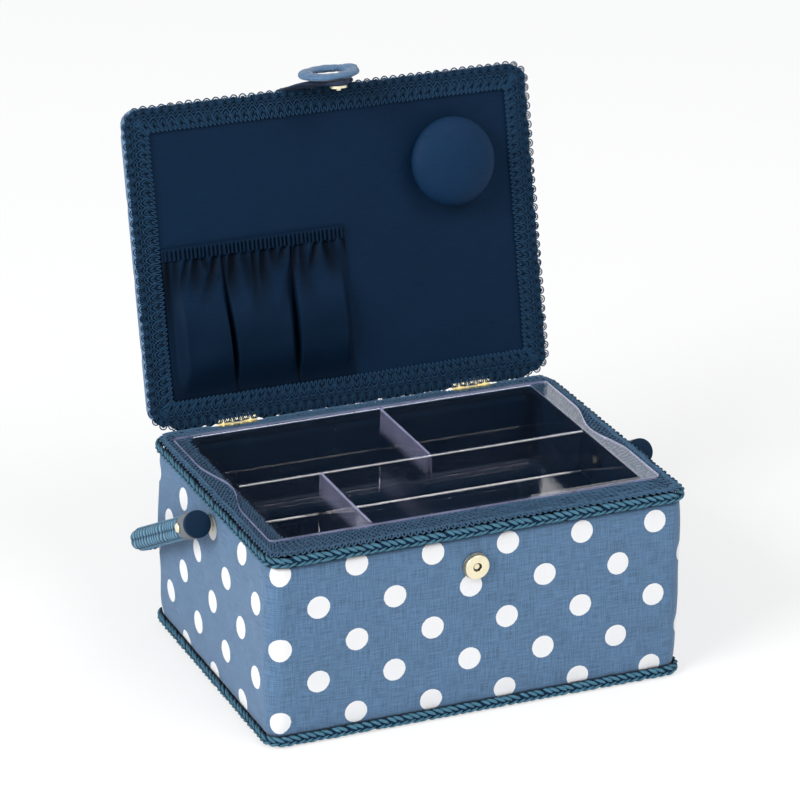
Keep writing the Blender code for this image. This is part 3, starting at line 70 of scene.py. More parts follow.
# Case: insets from its outline and heights
COVER_INSET = 0.004
COVER_CROWN = 0.0015
COVER_BOTTOM = 0.0078
COVER_TOP = 0.1090
CORD_INSET = 0.0029
CORD_HEIGHTS = {"bottom_cord": 0.0038, "top_cord": 0.1130}
RIM_TOP = 0.1170
RIM_INSET = 0.0061
RIM_WIDTH = 0.0134
OPENING_MIDDLE_Y = 0.0040
LINING_INSET = 0.0142

# Hinge axis, middle of a hinge to the side, and the lid
HINGE_X = 0.075
HINGE_Y = 0.0930
HINGE_Z = 0.1188
LID_ANGLE = np.radians(-103.4)
LID_MIDDLE = 0.0945

# Closure and handle
CLOSURE_X = -0.004
SNAP_HEIGHT = 0.092
TAB_AXIS = (0.1893, 0.0020)
TAB_STANDOFF = 0.00271
STRAP_LENGTH = 0.0356
STRAP_THICKNESS = 0.0012
HANDLE_HEIGHT = 0.100
HANDLE_ANGLE = np.radians(-27.5)
HANDLE_ARM_X = 0.1383
HANDLE_LENGTH = 0.11285
HANDLE_BEND = 0.022
SLEEVE_RADIUS = 0.00565
SLEEVE_RELIEF = 0.00130


# Sizes and colours that a user may change: key, description and default
SIZES = (
    ("dot_width", "Width of a printed dot", 0.0135),
    ("dot_pitch", "Distance between dots in a row", 0.0457),
    ("dot_row", "Height from one row of dots to the next", 0.02265),
    ("padding_wave", "How unevenly the padded walls swell", 0.0004),
    ("lobe_pitch", "Distance between lobes of the plaited cord", 0.0048),
    ("lid_loop_pitch", "Distance between scallops on the lid's braid", 0.0056),
    ("rim_loop_pitch", "Distance between loops on the rim's braid", 0.0037),
    ("gimp_yarn", "Thickness of the braid's yarn", 0.0008),
    ("pocket_pleat", "Distance between pleats in the pocket's header", 0.00255),
    ("cushion_height", "Height of the pin cushion", 0.0175),
)
COLOURS = (
    ("denim", "Ground colour of the dotted cloth", (0.108, 0.200, 0.335)),
    ("dots", "Colour of the printed dots", (0.86, 0.86, 0.87)),
    ("lining", "Colour of the smooth lining cloth", (0.0035, 0.0165, 0.0430)),
    ("gimp", "Colour of the lid braid's yarn", (0.019, 0.066, 0.138)),
    # Painted shade: the dark colour between the braid's yarns, also on the frame beneath
    ("gimp_ground", "Colour between the braid's yarns", (0.0025, 0.0105, 0.025)),
    ("rim", "Colour of the rim braid's yarn", (0.076, 0.160, 0.268)),
    ("cord", "Colour of the plaited cord", (0.130, 0.350, 0.500)),
    ("sleeve", "Colour of the handle's sleeve", (0.170, 0.340, 0.480)),
    ("brass", "Colour of the brass", (0.92, 0.84, 0.60)),
    ("cap", "Colour of the handle's end caps", (0.004, 0.017, 0.040)),
    # Painted light: the lilac that the tray's edges show
    ("tray", "Tint of the tray's edges", (0.50, 0.50, 0.78)),
    ("card", "Colour of the boards", (0.33, 0.25, 0.17)),
)


def properties(kind, rows, **options):
    """Declarations of properties from their rows. The key, with spaces, makes the name."""
    return {key: kind(name=key.replace("_", " ").capitalize(), description=text, default=default, **options)
            for key, text, default in rows}


class BasketSizes(bpy.types.PropertyGroup):
    """Sizes of the cloth, the trims and their patterns."""

    __annotations__ = properties(bpy.props.FloatProperty, SIZES, unit="LENGTH")


class BasketColours(bpy.types.PropertyGroup):
    """Colours of the cloths, the yarns, the metal and the plastic."""

    __annotations__ = properties(bpy.props.FloatVectorProperty, COLOURS, subtype="COLOR")


class Wire:
    """A socket in a shader, on which Python's operators add Math nodes."""

    def __init__(self, finish, socket):
        self.finish = finish
        self.socket = socket

    def _math(self, operation, first, second):
        return self.finish.node("ShaderNodeMath", {"operation": operation}, {0: first, 1: second})

    def __add__(self, other):
        return self._math("ADD", self, other)

    def __sub__(self, other):
        return self._math("SUBTRACT", self, other)

    def __rsub__(self, other):
        return self._math("SUBTRACT", other, self)

    def __mul__(self, other):
        return self._math("MULTIPLY", self, other)

    def __mod__(self, other):
        return self._math("FLOORED_MODULO", self, other)


class Finish:
    """A material with its Principled shader and a short way to add nodes."""

    def __init__(self, name, **constants):
        self.material = bpy.data.materials.new(name)
        self.material.use_nodes = True
        self.tree = self.material.node_tree
        self.shader = self.tree.nodes["Principled BSDF"]
        self.set_constants(self.shader, **constants)

    def set_constants(self, shader, **constants):
        """Values that are the same all over the surface, on the shader's own sockets."""
        for key, value in constants.items():
            socket = shader.inputs[key.replace("_", " ")]
            socket.default_value = (*value[:3], 1.0) if socket.type == "RGBA" else value

    def second_shader(self, share, **constants):
        """Another Principled shader, shown by a share over what the output shows now."""
        other = self.tree.nodes.new("ShaderNodeBsdfPrincipled")
        self.set_constants(other, **constants)
        output = self.tree.nodes["Material Output"].inputs["Surface"]
        under = Wire(self, output.links[0].from_socket)
        blend = self.node("ShaderNodeMixShader", None, {0: share, 1: under, 2: Wire(self, other.outputs[0])})
        self.tree.links.new(blend.socket, output)

    def node(self, kind, settings=None, sockets=None, output=0):
        """Add a node: its settings first, then the values or wires of its sockets."""
        made = self.tree.nodes.new(kind)
        for key, value in (settings or {}).items():
            setattr(made, key, value)
        for key, value in (sockets or {}).items():
            if isinstance(value, Wire):
                self.tree.links.new(value.socket, made.inputs[key])
            else:
                made.inputs[key].default_value = value
        return Wire(self, made.outputs[output])

    def feed(self, name, wire, shader=None):
        """Link a wire to one of a shader's sockets."""
        self.tree.links.new(wire.socket, (shader or self.shader).inputs[name])

    def cloth_place(self):
        """The two lengths along the cloth, from its UV map."""
        place = self.node("ShaderNodeUVMap", {"uv_map": "UVMap"})
        split = self.tree.nodes.new("ShaderNodeSeparateXYZ")
        self.tree.links.new(place.socket, split.inputs[0])
        return Wire(self, split.outputs[0]), Wire(self, split.outputs[1])

    def tone(self):
        """The mesh's own mask, with which the pieces paint light and shade: low where the surface
        lies deep or in shade, high where it stands proud or in the light.
        """
        return self.node("ShaderNodeAttribute", {"attribute_name": "tone"}, None, output=2)

    def noise(self, across, along, detail=2.0, roughness=0.5):
        """Flat noise whose two lengths are stretched apart."""
        spot = self.node("ShaderNodeCombineXYZ", None, {0: across, 1: along})
        return self.node("ShaderNodeTexNoise", {"noise_dimensions": "2D"},
                         {"Vector": spot, "Scale": 1.0, "Detail": detail, "Roughness": roughness})

    def solid_noise(self, scale, detail=2.0):
        """Noise through space, for pieces without a pattern of their own."""
        spot = self.node("ShaderNodeTexCoord", None, None, output=3)
        return self.node("ShaderNodeTexNoise", None, {"Vector": spot, "Scale": scale, "Detail": detail})

    def ease(self, value, low, high, start=0.0, end=1.0):
        """Smooth step of a value from one level to another."""
        return self.node("ShaderNodeMapRange", {"interpolation_type": "SMOOTHSTEP"},
                         {"Value": value, "From Min": low, "From Max": high, "To Min": start, "To Max": end})

    def wave(self, phase):
        """Sine of a phase in turns."""
        return self.node("ShaderNodeMath", {"operation": "SINE"}, {0: phase * TURN})

    def mixed(self, share, first, second):
        """Colour between two others."""
        def colour(value):
            return value if isinstance(value, Wire) else (*value[:3], 1.0)
        return self.node("ShaderNodeMix", {"data_type": "RGBA"},
                         {0: share, 6: colour(first), 7: colour(second)}, output=2)

    def over(self, under, value, low, high, share, colour):
        """Lay a share of a colour over another where a value goes from one level to a higher one."""
        return self.mixed(self.ease(value, low, high, 0.0, share), under, colour)

    def bump(self, height, depth, strength=1.0):
        """Raise the surface by a height whose full swing is a depth in metres."""
        self.feed("Normal", self.node("ShaderNodeBump", None, {
            "Height": height, "Distance": depth, "Strength": strength}))


def shade(colour, factor):
    """A colour made lighter or darker."""
    return tuple(min(channel * factor, 1.0) for channel in colour)


def denim_finish(name, colours, sizes, dotted):
    """Slubbed plain weave, with printed dots on a centred lattice where it is dotted."""
    cloth = Finish(name, Roughness=0.9, Sheen_Weight=0.30, Sheen_Roughness=0.35, Specular_IOR_Level=0.2)
    u, v = cloth.cloth_place()
    warp = cloth.noise(u * 1550, v * 90, detail=3)
    weft = cloth.noise(u * 90, v * 1550, detail=3)
    broad = cloth.noise(u * 38, v * 38, detail=3)
    grit = cloth.noise(u * 1700, v * 1700, detail=2)
    dark = cloth.ease(warp, 0.48, 0.70, 0.0, 0.46) + cloth.ease(weft, 0.48, 0.70, 0.0, 0.46)
    light = cloth.ease(1 - warp, 0.50, 0.72, 0.0, 0.42) + cloth.ease(1 - weft, 0.50, 0.72, 0.0, 0.42)
    ground = cloth.mixed(dark, colours.denim, shade(colours.denim, 0.55))
    ground = cloth.mixed(light * 0.62, ground, shade(colours.denim, 1.55))
    ground = cloth.over(ground, grit, 0.42, 0.68, 0.22, shade(colours.denim, 0.5))
    ground = cloth.over(ground, broad, 0.35, 0.65, 0.14, shade(colours.denim, 0.75))
    if dotted:
        pitch, row = sizes.dot_pitch, sizes.dot_row

        def from_dot(start_u, start_v):
            across = (u - start_u + pitch / 2) % pitch - pitch / 2
            rise = (v - start_v + row) % (2 * row) - row
            return cloth.node("ShaderNodeMath", {"operation": "SQRT"}, {0: across * across + rise * rise})

        nearest = cloth.node("ShaderNodeMath", {"operation": "MINIMUM"}, {
            0: from_dot(-0.1210, 0.1056), 1: from_dot(-0.09815, 0.08295)})
        ragged = nearest + (warp - 0.5) * 0.0004 + (weft - 0.5) * 0.0004
        edge = sizes.dot_width / 2
        print_share = cloth.ease(ragged, edge - 0.00012, edge + 0.00012, 1.0, 0.0)
        ink = cloth.mixed(dark * 0.12, colours.dots, shade(colours.dots, 0.8))
        ground = cloth.mixed(print_share, ground, ink)
    cloth.feed("Base Color", ground)
    weave = cloth.wave(u * 2200) * cloth.wave(v * 2200)
    cloth.bump(weave * 0.35 + warp + weft, 0.00018, 0.6)
    return cloth.material


def lining_finish(name, colour, sheen=0.0, gloss=0.62, level=0.06):
    """Smooth close-woven lining with fine ribs. Where the mesh's mask is low it takes painted shade,
    as where the cloth lies in a deep fold.
    """
    cloth = Finish(name, Roughness=gloss, Sheen_Weight=sheen, Sheen_Roughness=0.35,
                   Specular_IOR_Level=level)
    u, v = cloth.cloth_place()
    rib = cloth.noise(u * 90, v * 1900, detail=2)
    thread = cloth.noise(u * 1900, v * 90, detail=2)
    broad = cloth.noise(u * 16, v * 16, detail=3)
    tone = cloth.mixed(cloth.ease(rib, 0.35, 0.7), shade(colour, 1.06), shade(colour, 0.92))
    tone = cloth.over(tone, thread, 0.45, 0.75, 0.5, shade(colour, 0.88))
    tone = cloth.over(tone, broad, 0.35, 0.7, 0.35, shade(colour, 1.2))
    # Painted shade: a low mask darkens the cloth towards a twentieth of its colour
    tone = cloth.mixed(cloth.tone(), shade(colour, 0.05), tone)
    cloth.feed("Base Color", tone)
    cloth.feed("Roughness", cloth.ease(thread + rib, 0.6, 1.4, gloss - 0.05, gloss + 0.10))
    cloth.bump(rib + thread, 0.00008, 0.4)
    return cloth.material


def hidden_cloth_finish(name, colour):
    """Navy cloth on the frame under the rim's braid, woven in space."""
    cloth = Finish(name, Roughness=0.9, Specular_IOR_Level=0.1)
    thread = cloth.solid_noise(1800, detail=2)
    tone = cloth.mixed(cloth.ease(thread, 0.35, 0.65), shade(colour, 1.5), shade(colour, 0.5))
    cloth.feed("Base Color", tone)
    cloth.bump(thread, 0.0002, 0.5)
    return cloth.material


def yarn_finish(name, colour, ground, ply=0.0016, plies=2, sheen=0.2, contrast=0.5):
    """Twisted yarn: plies that wind round the strand, painted shade where a ply sinks, fuzz and worn tips.

    Where the mesh's mask is low, the yarn takes the ground colour, a painted shade.
    """
    yarn = Finish(name, Roughness=0.88, Sheen_Weight=sheen, Sheen_Roughness=0.4, Specular_IOR_Level=0.1)
    u, v = yarn.cloth_place()
    twist = yarn.wave(u * (1 / ply) + v * plies)
    fuzz = yarn.solid_noise(1500, detail=3)
    patches = yarn.solid_noise(150, detail=3)
    # Painted shade between the plies: the yarn turns towards the ground colour where the twist sinks
    tone = yarn.mixed(yarn.ease(twist, -1.0, 0.4, contrast, 0.0), colour, ground)
    tone = yarn.over(tone, fuzz, 0.50, 0.74, 0.45, shade(colour, 1.8))
    tone = yarn.over(tone, patches, 0.40, 0.68, 0.35, shade(colour, 0.65))
    # Painted shade: where the mesh's mask is low the yarn takes the dark ground colour
    yarn.feed("Base Color", yarn.mixed(yarn.tone(), ground, tone))
    yarn.bump(twist * 0.5 + fuzz, 0.0003, 0.8)
    return yarn.material


def metal_finish(name, colour, roughness):
    """Plated metal with fine turning marks and a little tarnish."""
    metal = Finish(name, Metallic=1.0, Roughness=roughness)
    marks = metal.solid_noise(1500, detail=3)
    stain = metal.solid_noise(240, detail=4)
    metal.feed("Base Color", metal.over(colour, stain, 0.45, 0.75, 0.5, shade(colour, 0.78)))
    metal.feed("Roughness", metal.ease(stain + marks * 0.5, 0.5, 1.0, roughness - 0.06, roughness + 0.10))
    metal.bump(marks, 0.00003, 0.4)
    return metal.material


def cap_finish(name, colour):
    """Moulded cap of dark plastic: a matt nose, and where the mask is 1 a grey skirt, a painted
    reflection of the pale surroundings that stands for its soft gloss.
    """
    plastic = Finish(name, Roughness=0.55, Specular_IOR_Level=0.08)
    grain = plastic.solid_noise(900, detail=3)
    nose = plastic.mixed(plastic.ease(grain, 0.4, 0.7), colour, shade(colour, 1.2))
    # Painted reflection: the skirt's grey stands for the pale surroundings seen in the cap's side
    skirt = plastic.mixed(plastic.ease(grain, 0.4, 0.7), (0.135, 0.150, 0.175), (0.165, 0.180, 0.205))
    plastic.feed("Base Color", plastic.mixed(plastic.tone(), nose, skirt))
    plastic.feed("Roughness", plastic.ease(grain, 0.3, 0.7, 0.45, 0.62))
    plastic.bump(grain, 0.00004, 0.35)
    return plastic.material


def clear_finish(name, colour):
    """Clear polystyrene: see-through, a mirror where it is seen aslant, and painted lilac light on its thin
    edges.

    The mesh's mask adds gloss at the rounded feet of the walls, and above that the lilac of an
    edge: painted light, a near-opaque colour that stands for the light that the edges catch.
    """
    clear = Finish(name, Base_Color=(0.70, 0.72, 0.92), Roughness=0.25, Alpha=0.004)
    scratch = clear.solid_noise(260, detail=3)
    streak = clear.solid_noise(60, detail=4)
    clear.feed("Alpha", clear.ease(scratch, 0.50, 0.80, 0.002, 0.010))
    facing = clear.node("ShaderNodeLayerWeight", None, {"Blend": 0.5}, output=1)
    tone = clear.tone()
    gloss = clear.ease(facing, 0.45, 0.76, 0.002, 0.30) + clear.ease(tone, 0.02, 0.30, 0.0, 0.30)
    clear.second_shader(gloss, Base_Color=(0.97, 0.97, 1.0), Metallic=1.0, Roughness=0.03)
    # Painted light: lilac colour on the edges and cross walls that the mask marks
    edge = clear.ease(tone, 0.34, 0.95, 0.0, 0.92) * clear.ease(streak, 0.30, 0.72, 0.62, 1.0)
    clear.second_shader(edge, Base_Color=colour, Roughness=0.22, Alpha=0.85, Coat_Weight=0.5)
    return clear.material


def card_finish(name, colour):
    """Grey board with fibres and flecks."""
    card = Finish(name, Roughness=0.9)
    fibre = card.solid_noise(700, detail=4)
    fleck = card.solid_noise(2200, detail=2)
    tone = card.mixed(card.ease(fibre, 0.35, 0.7), shade(colour, 1.15), shade(colour, 0.8))
    card.feed("Base Color", card.over(tone, fleck, 0.62, 0.72, 0.6, shade(colour, 0.45)))
    card.bump(fibre, 0.0002, 0.5)
    return card.material


def unit(vectors):
    """Vectors of length one."""
    return vectors / np.maximum(np.linalg.norm(vectors, axis=-1, keepdims=True), 1e-12)


def stacked(*values):
    """Points or UVs from their coordinates, any of which may be a single number."""
    return np.stack(np.broadcast_arrays(*values), -1)


def shares(count):
    """Shares from 0 to 1 in even steps."""
    return np.arange(count + 1) / count


def smooth(share):
    """Ease from 0 to 1, level at both ends: 3 s squared less 2 s cubed."""
    share = np.clip(share, 0.0, 1.0)
    return share * share * (3 - 2 * share)


def waves(a, b, seed, count, shortest, longest):
    """Even unrest of about one unit: a sum of sines that run in seeded directions."""
    rng = np.random.default_rng(seed)
    total = np.zeros(np.broadcast(a, b).shape)
    for _ in range(count):
        heading, phase = rng.uniform(0, TURN, 2)
        length = rng.uniform(shortest, longest)
        total += np.sin((a * np.cos(heading) + b * np.sin(heading)) * TURN / length + phase)
    return total / np.sqrt(count)


def part(points, uv, wrap_rows=False, wrap_columns=False, tone=1.0):
    """Grids of a piece: points of rows and columns, UVs with one more where it wraps, and a mask of
    painted light and shade.
    """
    return points, uv, wrap_rows, wrap_columns, tone


def make_piece(name, parts, finish, weld=False):
    """Mesh object from grids of points, each joined to its neighbours by quads.

    A part's points may have leading axes: each is then one more copy of the same grid.
    """
    all_points, all_quads, all_uvs, all_tones, start = [], [], [], [], 0
    for points, uv, wrap_rows, wrap_columns, tone in parts:
        rows, columns = points.shape[-3:-1]
        copies = points.reshape(-1, rows, columns, 3)
        row, column = np.meshgrid(np.arange(rows if wrap_rows else rows - 1),
                                  np.arange(columns if wrap_columns else columns - 1), indexing="ij")
        below, after = (row + 1) % rows, (column + 1) % columns
        quads = stacked(row * columns + column, row * columns + after,
                          below * columns + after, below * columns + column).reshape(-1, 4)
        corners = np.stack([uv[row, column], uv[row, column + 1],
                            uv[row + 1, column + 1], uv[row + 1, column]], -2).reshape(-1, 2)
        offsets = start + rows * columns * np.arange(len(copies))
        all_points.append(copies.reshape(-1, 3))
        all_quads.append((quads + offsets[:, None, None]).reshape(-1, 4))
        all_uvs.append(np.tile(corners, (len(copies), 1)))
        all_tones.append(np.broadcast_to(tone, points.shape[:-1]).ravel())
        start += copies.size // 3
    points, quads, uvs = np.concatenate(all_points), np.concatenate(all_quads), np.concatenate(all_uvs)
    mesh = bpy.data.meshes.new(name)
    mesh.vertices.add(len(points))
    mesh.vertices.foreach_set("co", points.astype(np.float32).ravel())
    mesh.loops.add(quads.size)
    mesh.loops.foreach_set("vertex_index", quads.astype(np.int32).ravel())
    mesh.polygons.add(len(quads))
    mesh.polygons.foreach_set("loop_start", np.arange(0, quads.size, 4, dtype=np.int32))
    mesh.update(calc_edges=True)
    mesh.uv_layers.new(name="UVMap").data.foreach_set("uv", uvs.astype(np.float32).ravel())
    tones = mesh.attributes.new("tone", "FLOAT", "POINT")
    tones.data.foreach_set("value", np.concatenate(all_tones).astype(np.float32))
    work = bmesh.new()
    work.from_mesh(mesh)
    if weld:
        bmesh.ops.remove_doubles(work, verts=work.verts, dist=1e-6)
    bmesh.ops.recalc_face_normals(work, faces=work.faces)
    work.to_mesh(mesh)
    work.free()
    mesh.materials.append(finish)
    mesh.shade_smooth()
    item = bpy.data.objects.new(name, mesh)
    bpy.context.scene.collection.objects.link(item)
    return item


def sharpen(item, degrees):
    """Keep edges crisp where faces meet at more than an angle."""
    item.data.set_sharp_from_angle(angle=np.radians(degrees))
    return item


def slab_parts(front, back, uv, tone=1.0):
    """Closed sheet: a front grid with its edges, and a back grid."""
    tone = np.broadcast_to(tone, front.shape[:2])
    top = np.concatenate([back[:, :1], front, back[:, -1:]], 1)
    ends = [np.concatenate([back[row, :1], back[row], back[row, -1:]], 0)[None] for row in (0, -1)]
    top = np.concatenate([ends[0], top, ends[1]], 0)
    uv_wide = np.concatenate([uv[:, :1], uv, uv[:, -1:]], 1)
    uv_tall = np.concatenate([uv_wide[:1], uv_wide, uv_wide[-1:]], 0)
    return [part(top, uv_tall, tone=np.pad(tone, 1, mode="edge")), part(back, uv, tone=tone)]


def outline(loop, inset, share, reference):
    """X and y on a rounded rectangle drawn in by an inset, at a share of the way round it.

    The way starts at the middle of the rear and runs over the left, the front and the right.
    Each straight and each quarter circle takes the share that it has on the reference inset.
    """
    smallest = 0.0004
    (half_x, half_y), corner = loop
    inset, share = np.broadcast_arrays(np.asarray(inset, float), np.asarray(share, float))
    radius = max(corner - reference, smallest)
    bend = np.pi / 2 * radius
    long_x, long_y = half_x - reference - radius, half_y - reference - radius
    lengths = np.array([long_x, bend, 2 * long_y, bend, 2 * long_x, bend, 2 * long_y, bend, long_x])
    knots = np.concatenate([[0.0], np.cumsum(lengths)]) / lengths.sum()
    place = np.interp(share % 1.0, knots, np.arange(10))
    leg = np.minimum(place.astype(int), 8)
    part_way = place - leg
    radius = np.maximum(corner - inset, smallest)
    x, y = half_x - inset - radius, half_y - inset - radius
    far_x, far_y = x + radius, y + radius
    pick = (leg, *np.indices(leg.shape))
    start_x = np.stack([0 * x, -x, -far_x, -x, -x, x, far_x, x, x])[pick]
    start_y = np.stack([far_y, y, y, -y, -far_y, -y, -y, y, far_y])[pick]
    end_x = np.stack([-x, -x, -far_x, -x, x, x, far_x, x, 0 * x])[pick]
    end_y = np.stack([far_y, y, -y, -y, -far_y, -y, y, y, far_y])[pick]
    angle = np.pi / 2 * (1 + (leg - 1) / 2 + part_way)
    in_bend = leg % 2 == 1
    return (np.where(in_bend, start_x + radius * np.cos(angle), start_x * (1 - part_way) + end_x * part_way),
            np.where(in_bend, start_y + radius * np.sin(angle), start_y * (1 - part_way) + end_y * part_way))


def outline_length(loop, inset=0.0):
    """Length of the way round a rounded rectangle drawn in by an inset."""
    half, corner = loop
    radius = max(corner - inset, 0.0)
    return 4 * (half[0] + half[1] - 2 * inset - 2 * radius) + TURN * radius


def swung(points, angle, y, z):
    """Points turned by an angle about the x axis, then moved to a place of y and z."""
    x, along, rise = np.moveaxis(points, -1, 0)
    cos, sin = np.cos(angle), np.sin(angle)
    return stacked(x, y + along * cos - rise * sin, z + along * sin + rise * cos)


def dome(x, y, half):
    """1 in the middle and 0 at the sides: one less the fourth power of the way out, in both directions."""
    return (1 - (x / half[0]) ** 4) * (1 - (y / half[1]) ** 4)


def by_hinges(x, reach, fade):
    """1 within a reach of the middle of either hinge, eased to 0 over a length."""
    return smooth((reach - np.abs(np.abs(x) - HINGE_X)) / fade)


def from_lid(points):
    """Turn points from the lid's closed frame to where it stands open."""
    return swung(points, LID_ANGLE, HINGE_Y, HINGE_Z)


def from_tab(points):
    """Turn points from the tab's frame, whose origin is on its flex line, to the open lid."""
    return from_lid(points + np.array([CLOSURE_X, -TAB_AXIS[0], TAB_AXIS[1]]))


def from_handle(points):
    """Turn points from the handle's frame to where it lies behind the case."""
    return swung(points, HANDLE_ANGLE, 0.0, HANDLE_HEIGHT)


def tube(path, radius, sides, up, tone, flat=1.0):
    """Round section carried along a closed path.

    Each ring is the path's point plus the radius times the cosine of the angle along the side
    and the sine of it along the lift. A flat factor widens it sideways. The UVs are the length
    along the path and the share of the way round.
    """
    ahead = unit(np.roll(path, -1, 0) - np.roll(path, 1, 0))
    side = unit(np.cross(ahead, np.broadcast_to(up, path.shape)))
    lift = np.cross(side, ahead)
    angle = TURN * shares(sides)[:-1, None]
    ring = np.cos(angle) * side[:, None] * flat + np.sin(angle) * lift[:, None]
    step = np.linalg.norm(np.diff(path, axis=0, append=path[:1]), axis=1)
    uv = stacked(np.concatenate([[0.0], np.cumsum(step)])[:, None], shares(sides))
    return part(path[:, None] + radius * ring, uv, True, True, tone)


def turned(name, profile, steps, middle, axis, finish, degrees=38, tones=(1.0,)):
    """Profile of (radius, height) turned about an axis through a point.

    Each point is the middle plus its height along the axis and its radius at an angle round it.
    """
    profile = np.asarray(profile, float)
    axis = unit(np.asarray(axis, float))
    helper = UP if abs(axis[2]) < 0.9 else np.array([1.0, 0.0, 0.0])
    side = unit(np.cross(helper, axis))
    angle = TURN * shares(steps)[:-1, None]
    round_way = np.cos(angle) * side + np.sin(angle) * np.cross(axis, side)
    points = middle + profile[:, 0, None, None] * round_way + profile[:, 1, None, None] * axis
    closed_ring = profile[0, 0] > 0
    run = np.concatenate([[0.0], np.cumsum(np.linalg.norm(np.diff(profile, axis=0), axis=1))])
    if closed_ring:
        run = np.append(run, run[-1] + np.linalg.norm(profile[0] - profile[-1]))
    uv = stacked(shares(steps) * TURN * profile[:, 0].max(), run[:, None])
    tone = np.asarray(tones)[:, None]
    return sharpen(make_piece(name, [part(points, uv, closed_ring, True, tone)], finish, weld=True), degrees)


def tray_lines(walls, ends, reach, spare):
    """Grid lines over one side of the tray's plan, close together by its walls.

    From each wall face they step into the compartment by a fixed row of distances; the outer
    wall adds its own row inwards, and a few even lines fill what is left.
    """
    steps = [0.0, 0.10, 0.22, 0.34, 0.37, 0.80, 1.26, 1.30, 1.42, 1.75, 2.30, 3.10, 3.15, 3.6]
    draft = [0.0, 0.05, 0.60, 1.15, 1.20, 1.38, 1.80, 2.60, 3.00, 3.05]
    plate = np.array([0.06, 0.5, 0.8, 0.93, 0.99, 1.0])
    lines = [place + sign * np.array(steps) * 0.001 for place, sign in walls]
    lines += [sign * (ends - np.array(draft) * 0.001) for sign in (-1, 1)]
    lines += [sign * (ends + (reach - ends) * plate) for sign in (-1, 1)]
    lines.append(np.linspace(-ends + 0.004, ends - 0.004, spare))
    lines = np.unique(np.round(np.concatenate(lines), 6))
    return lines[np.append(True, np.diff(lines) > 0.00003)]


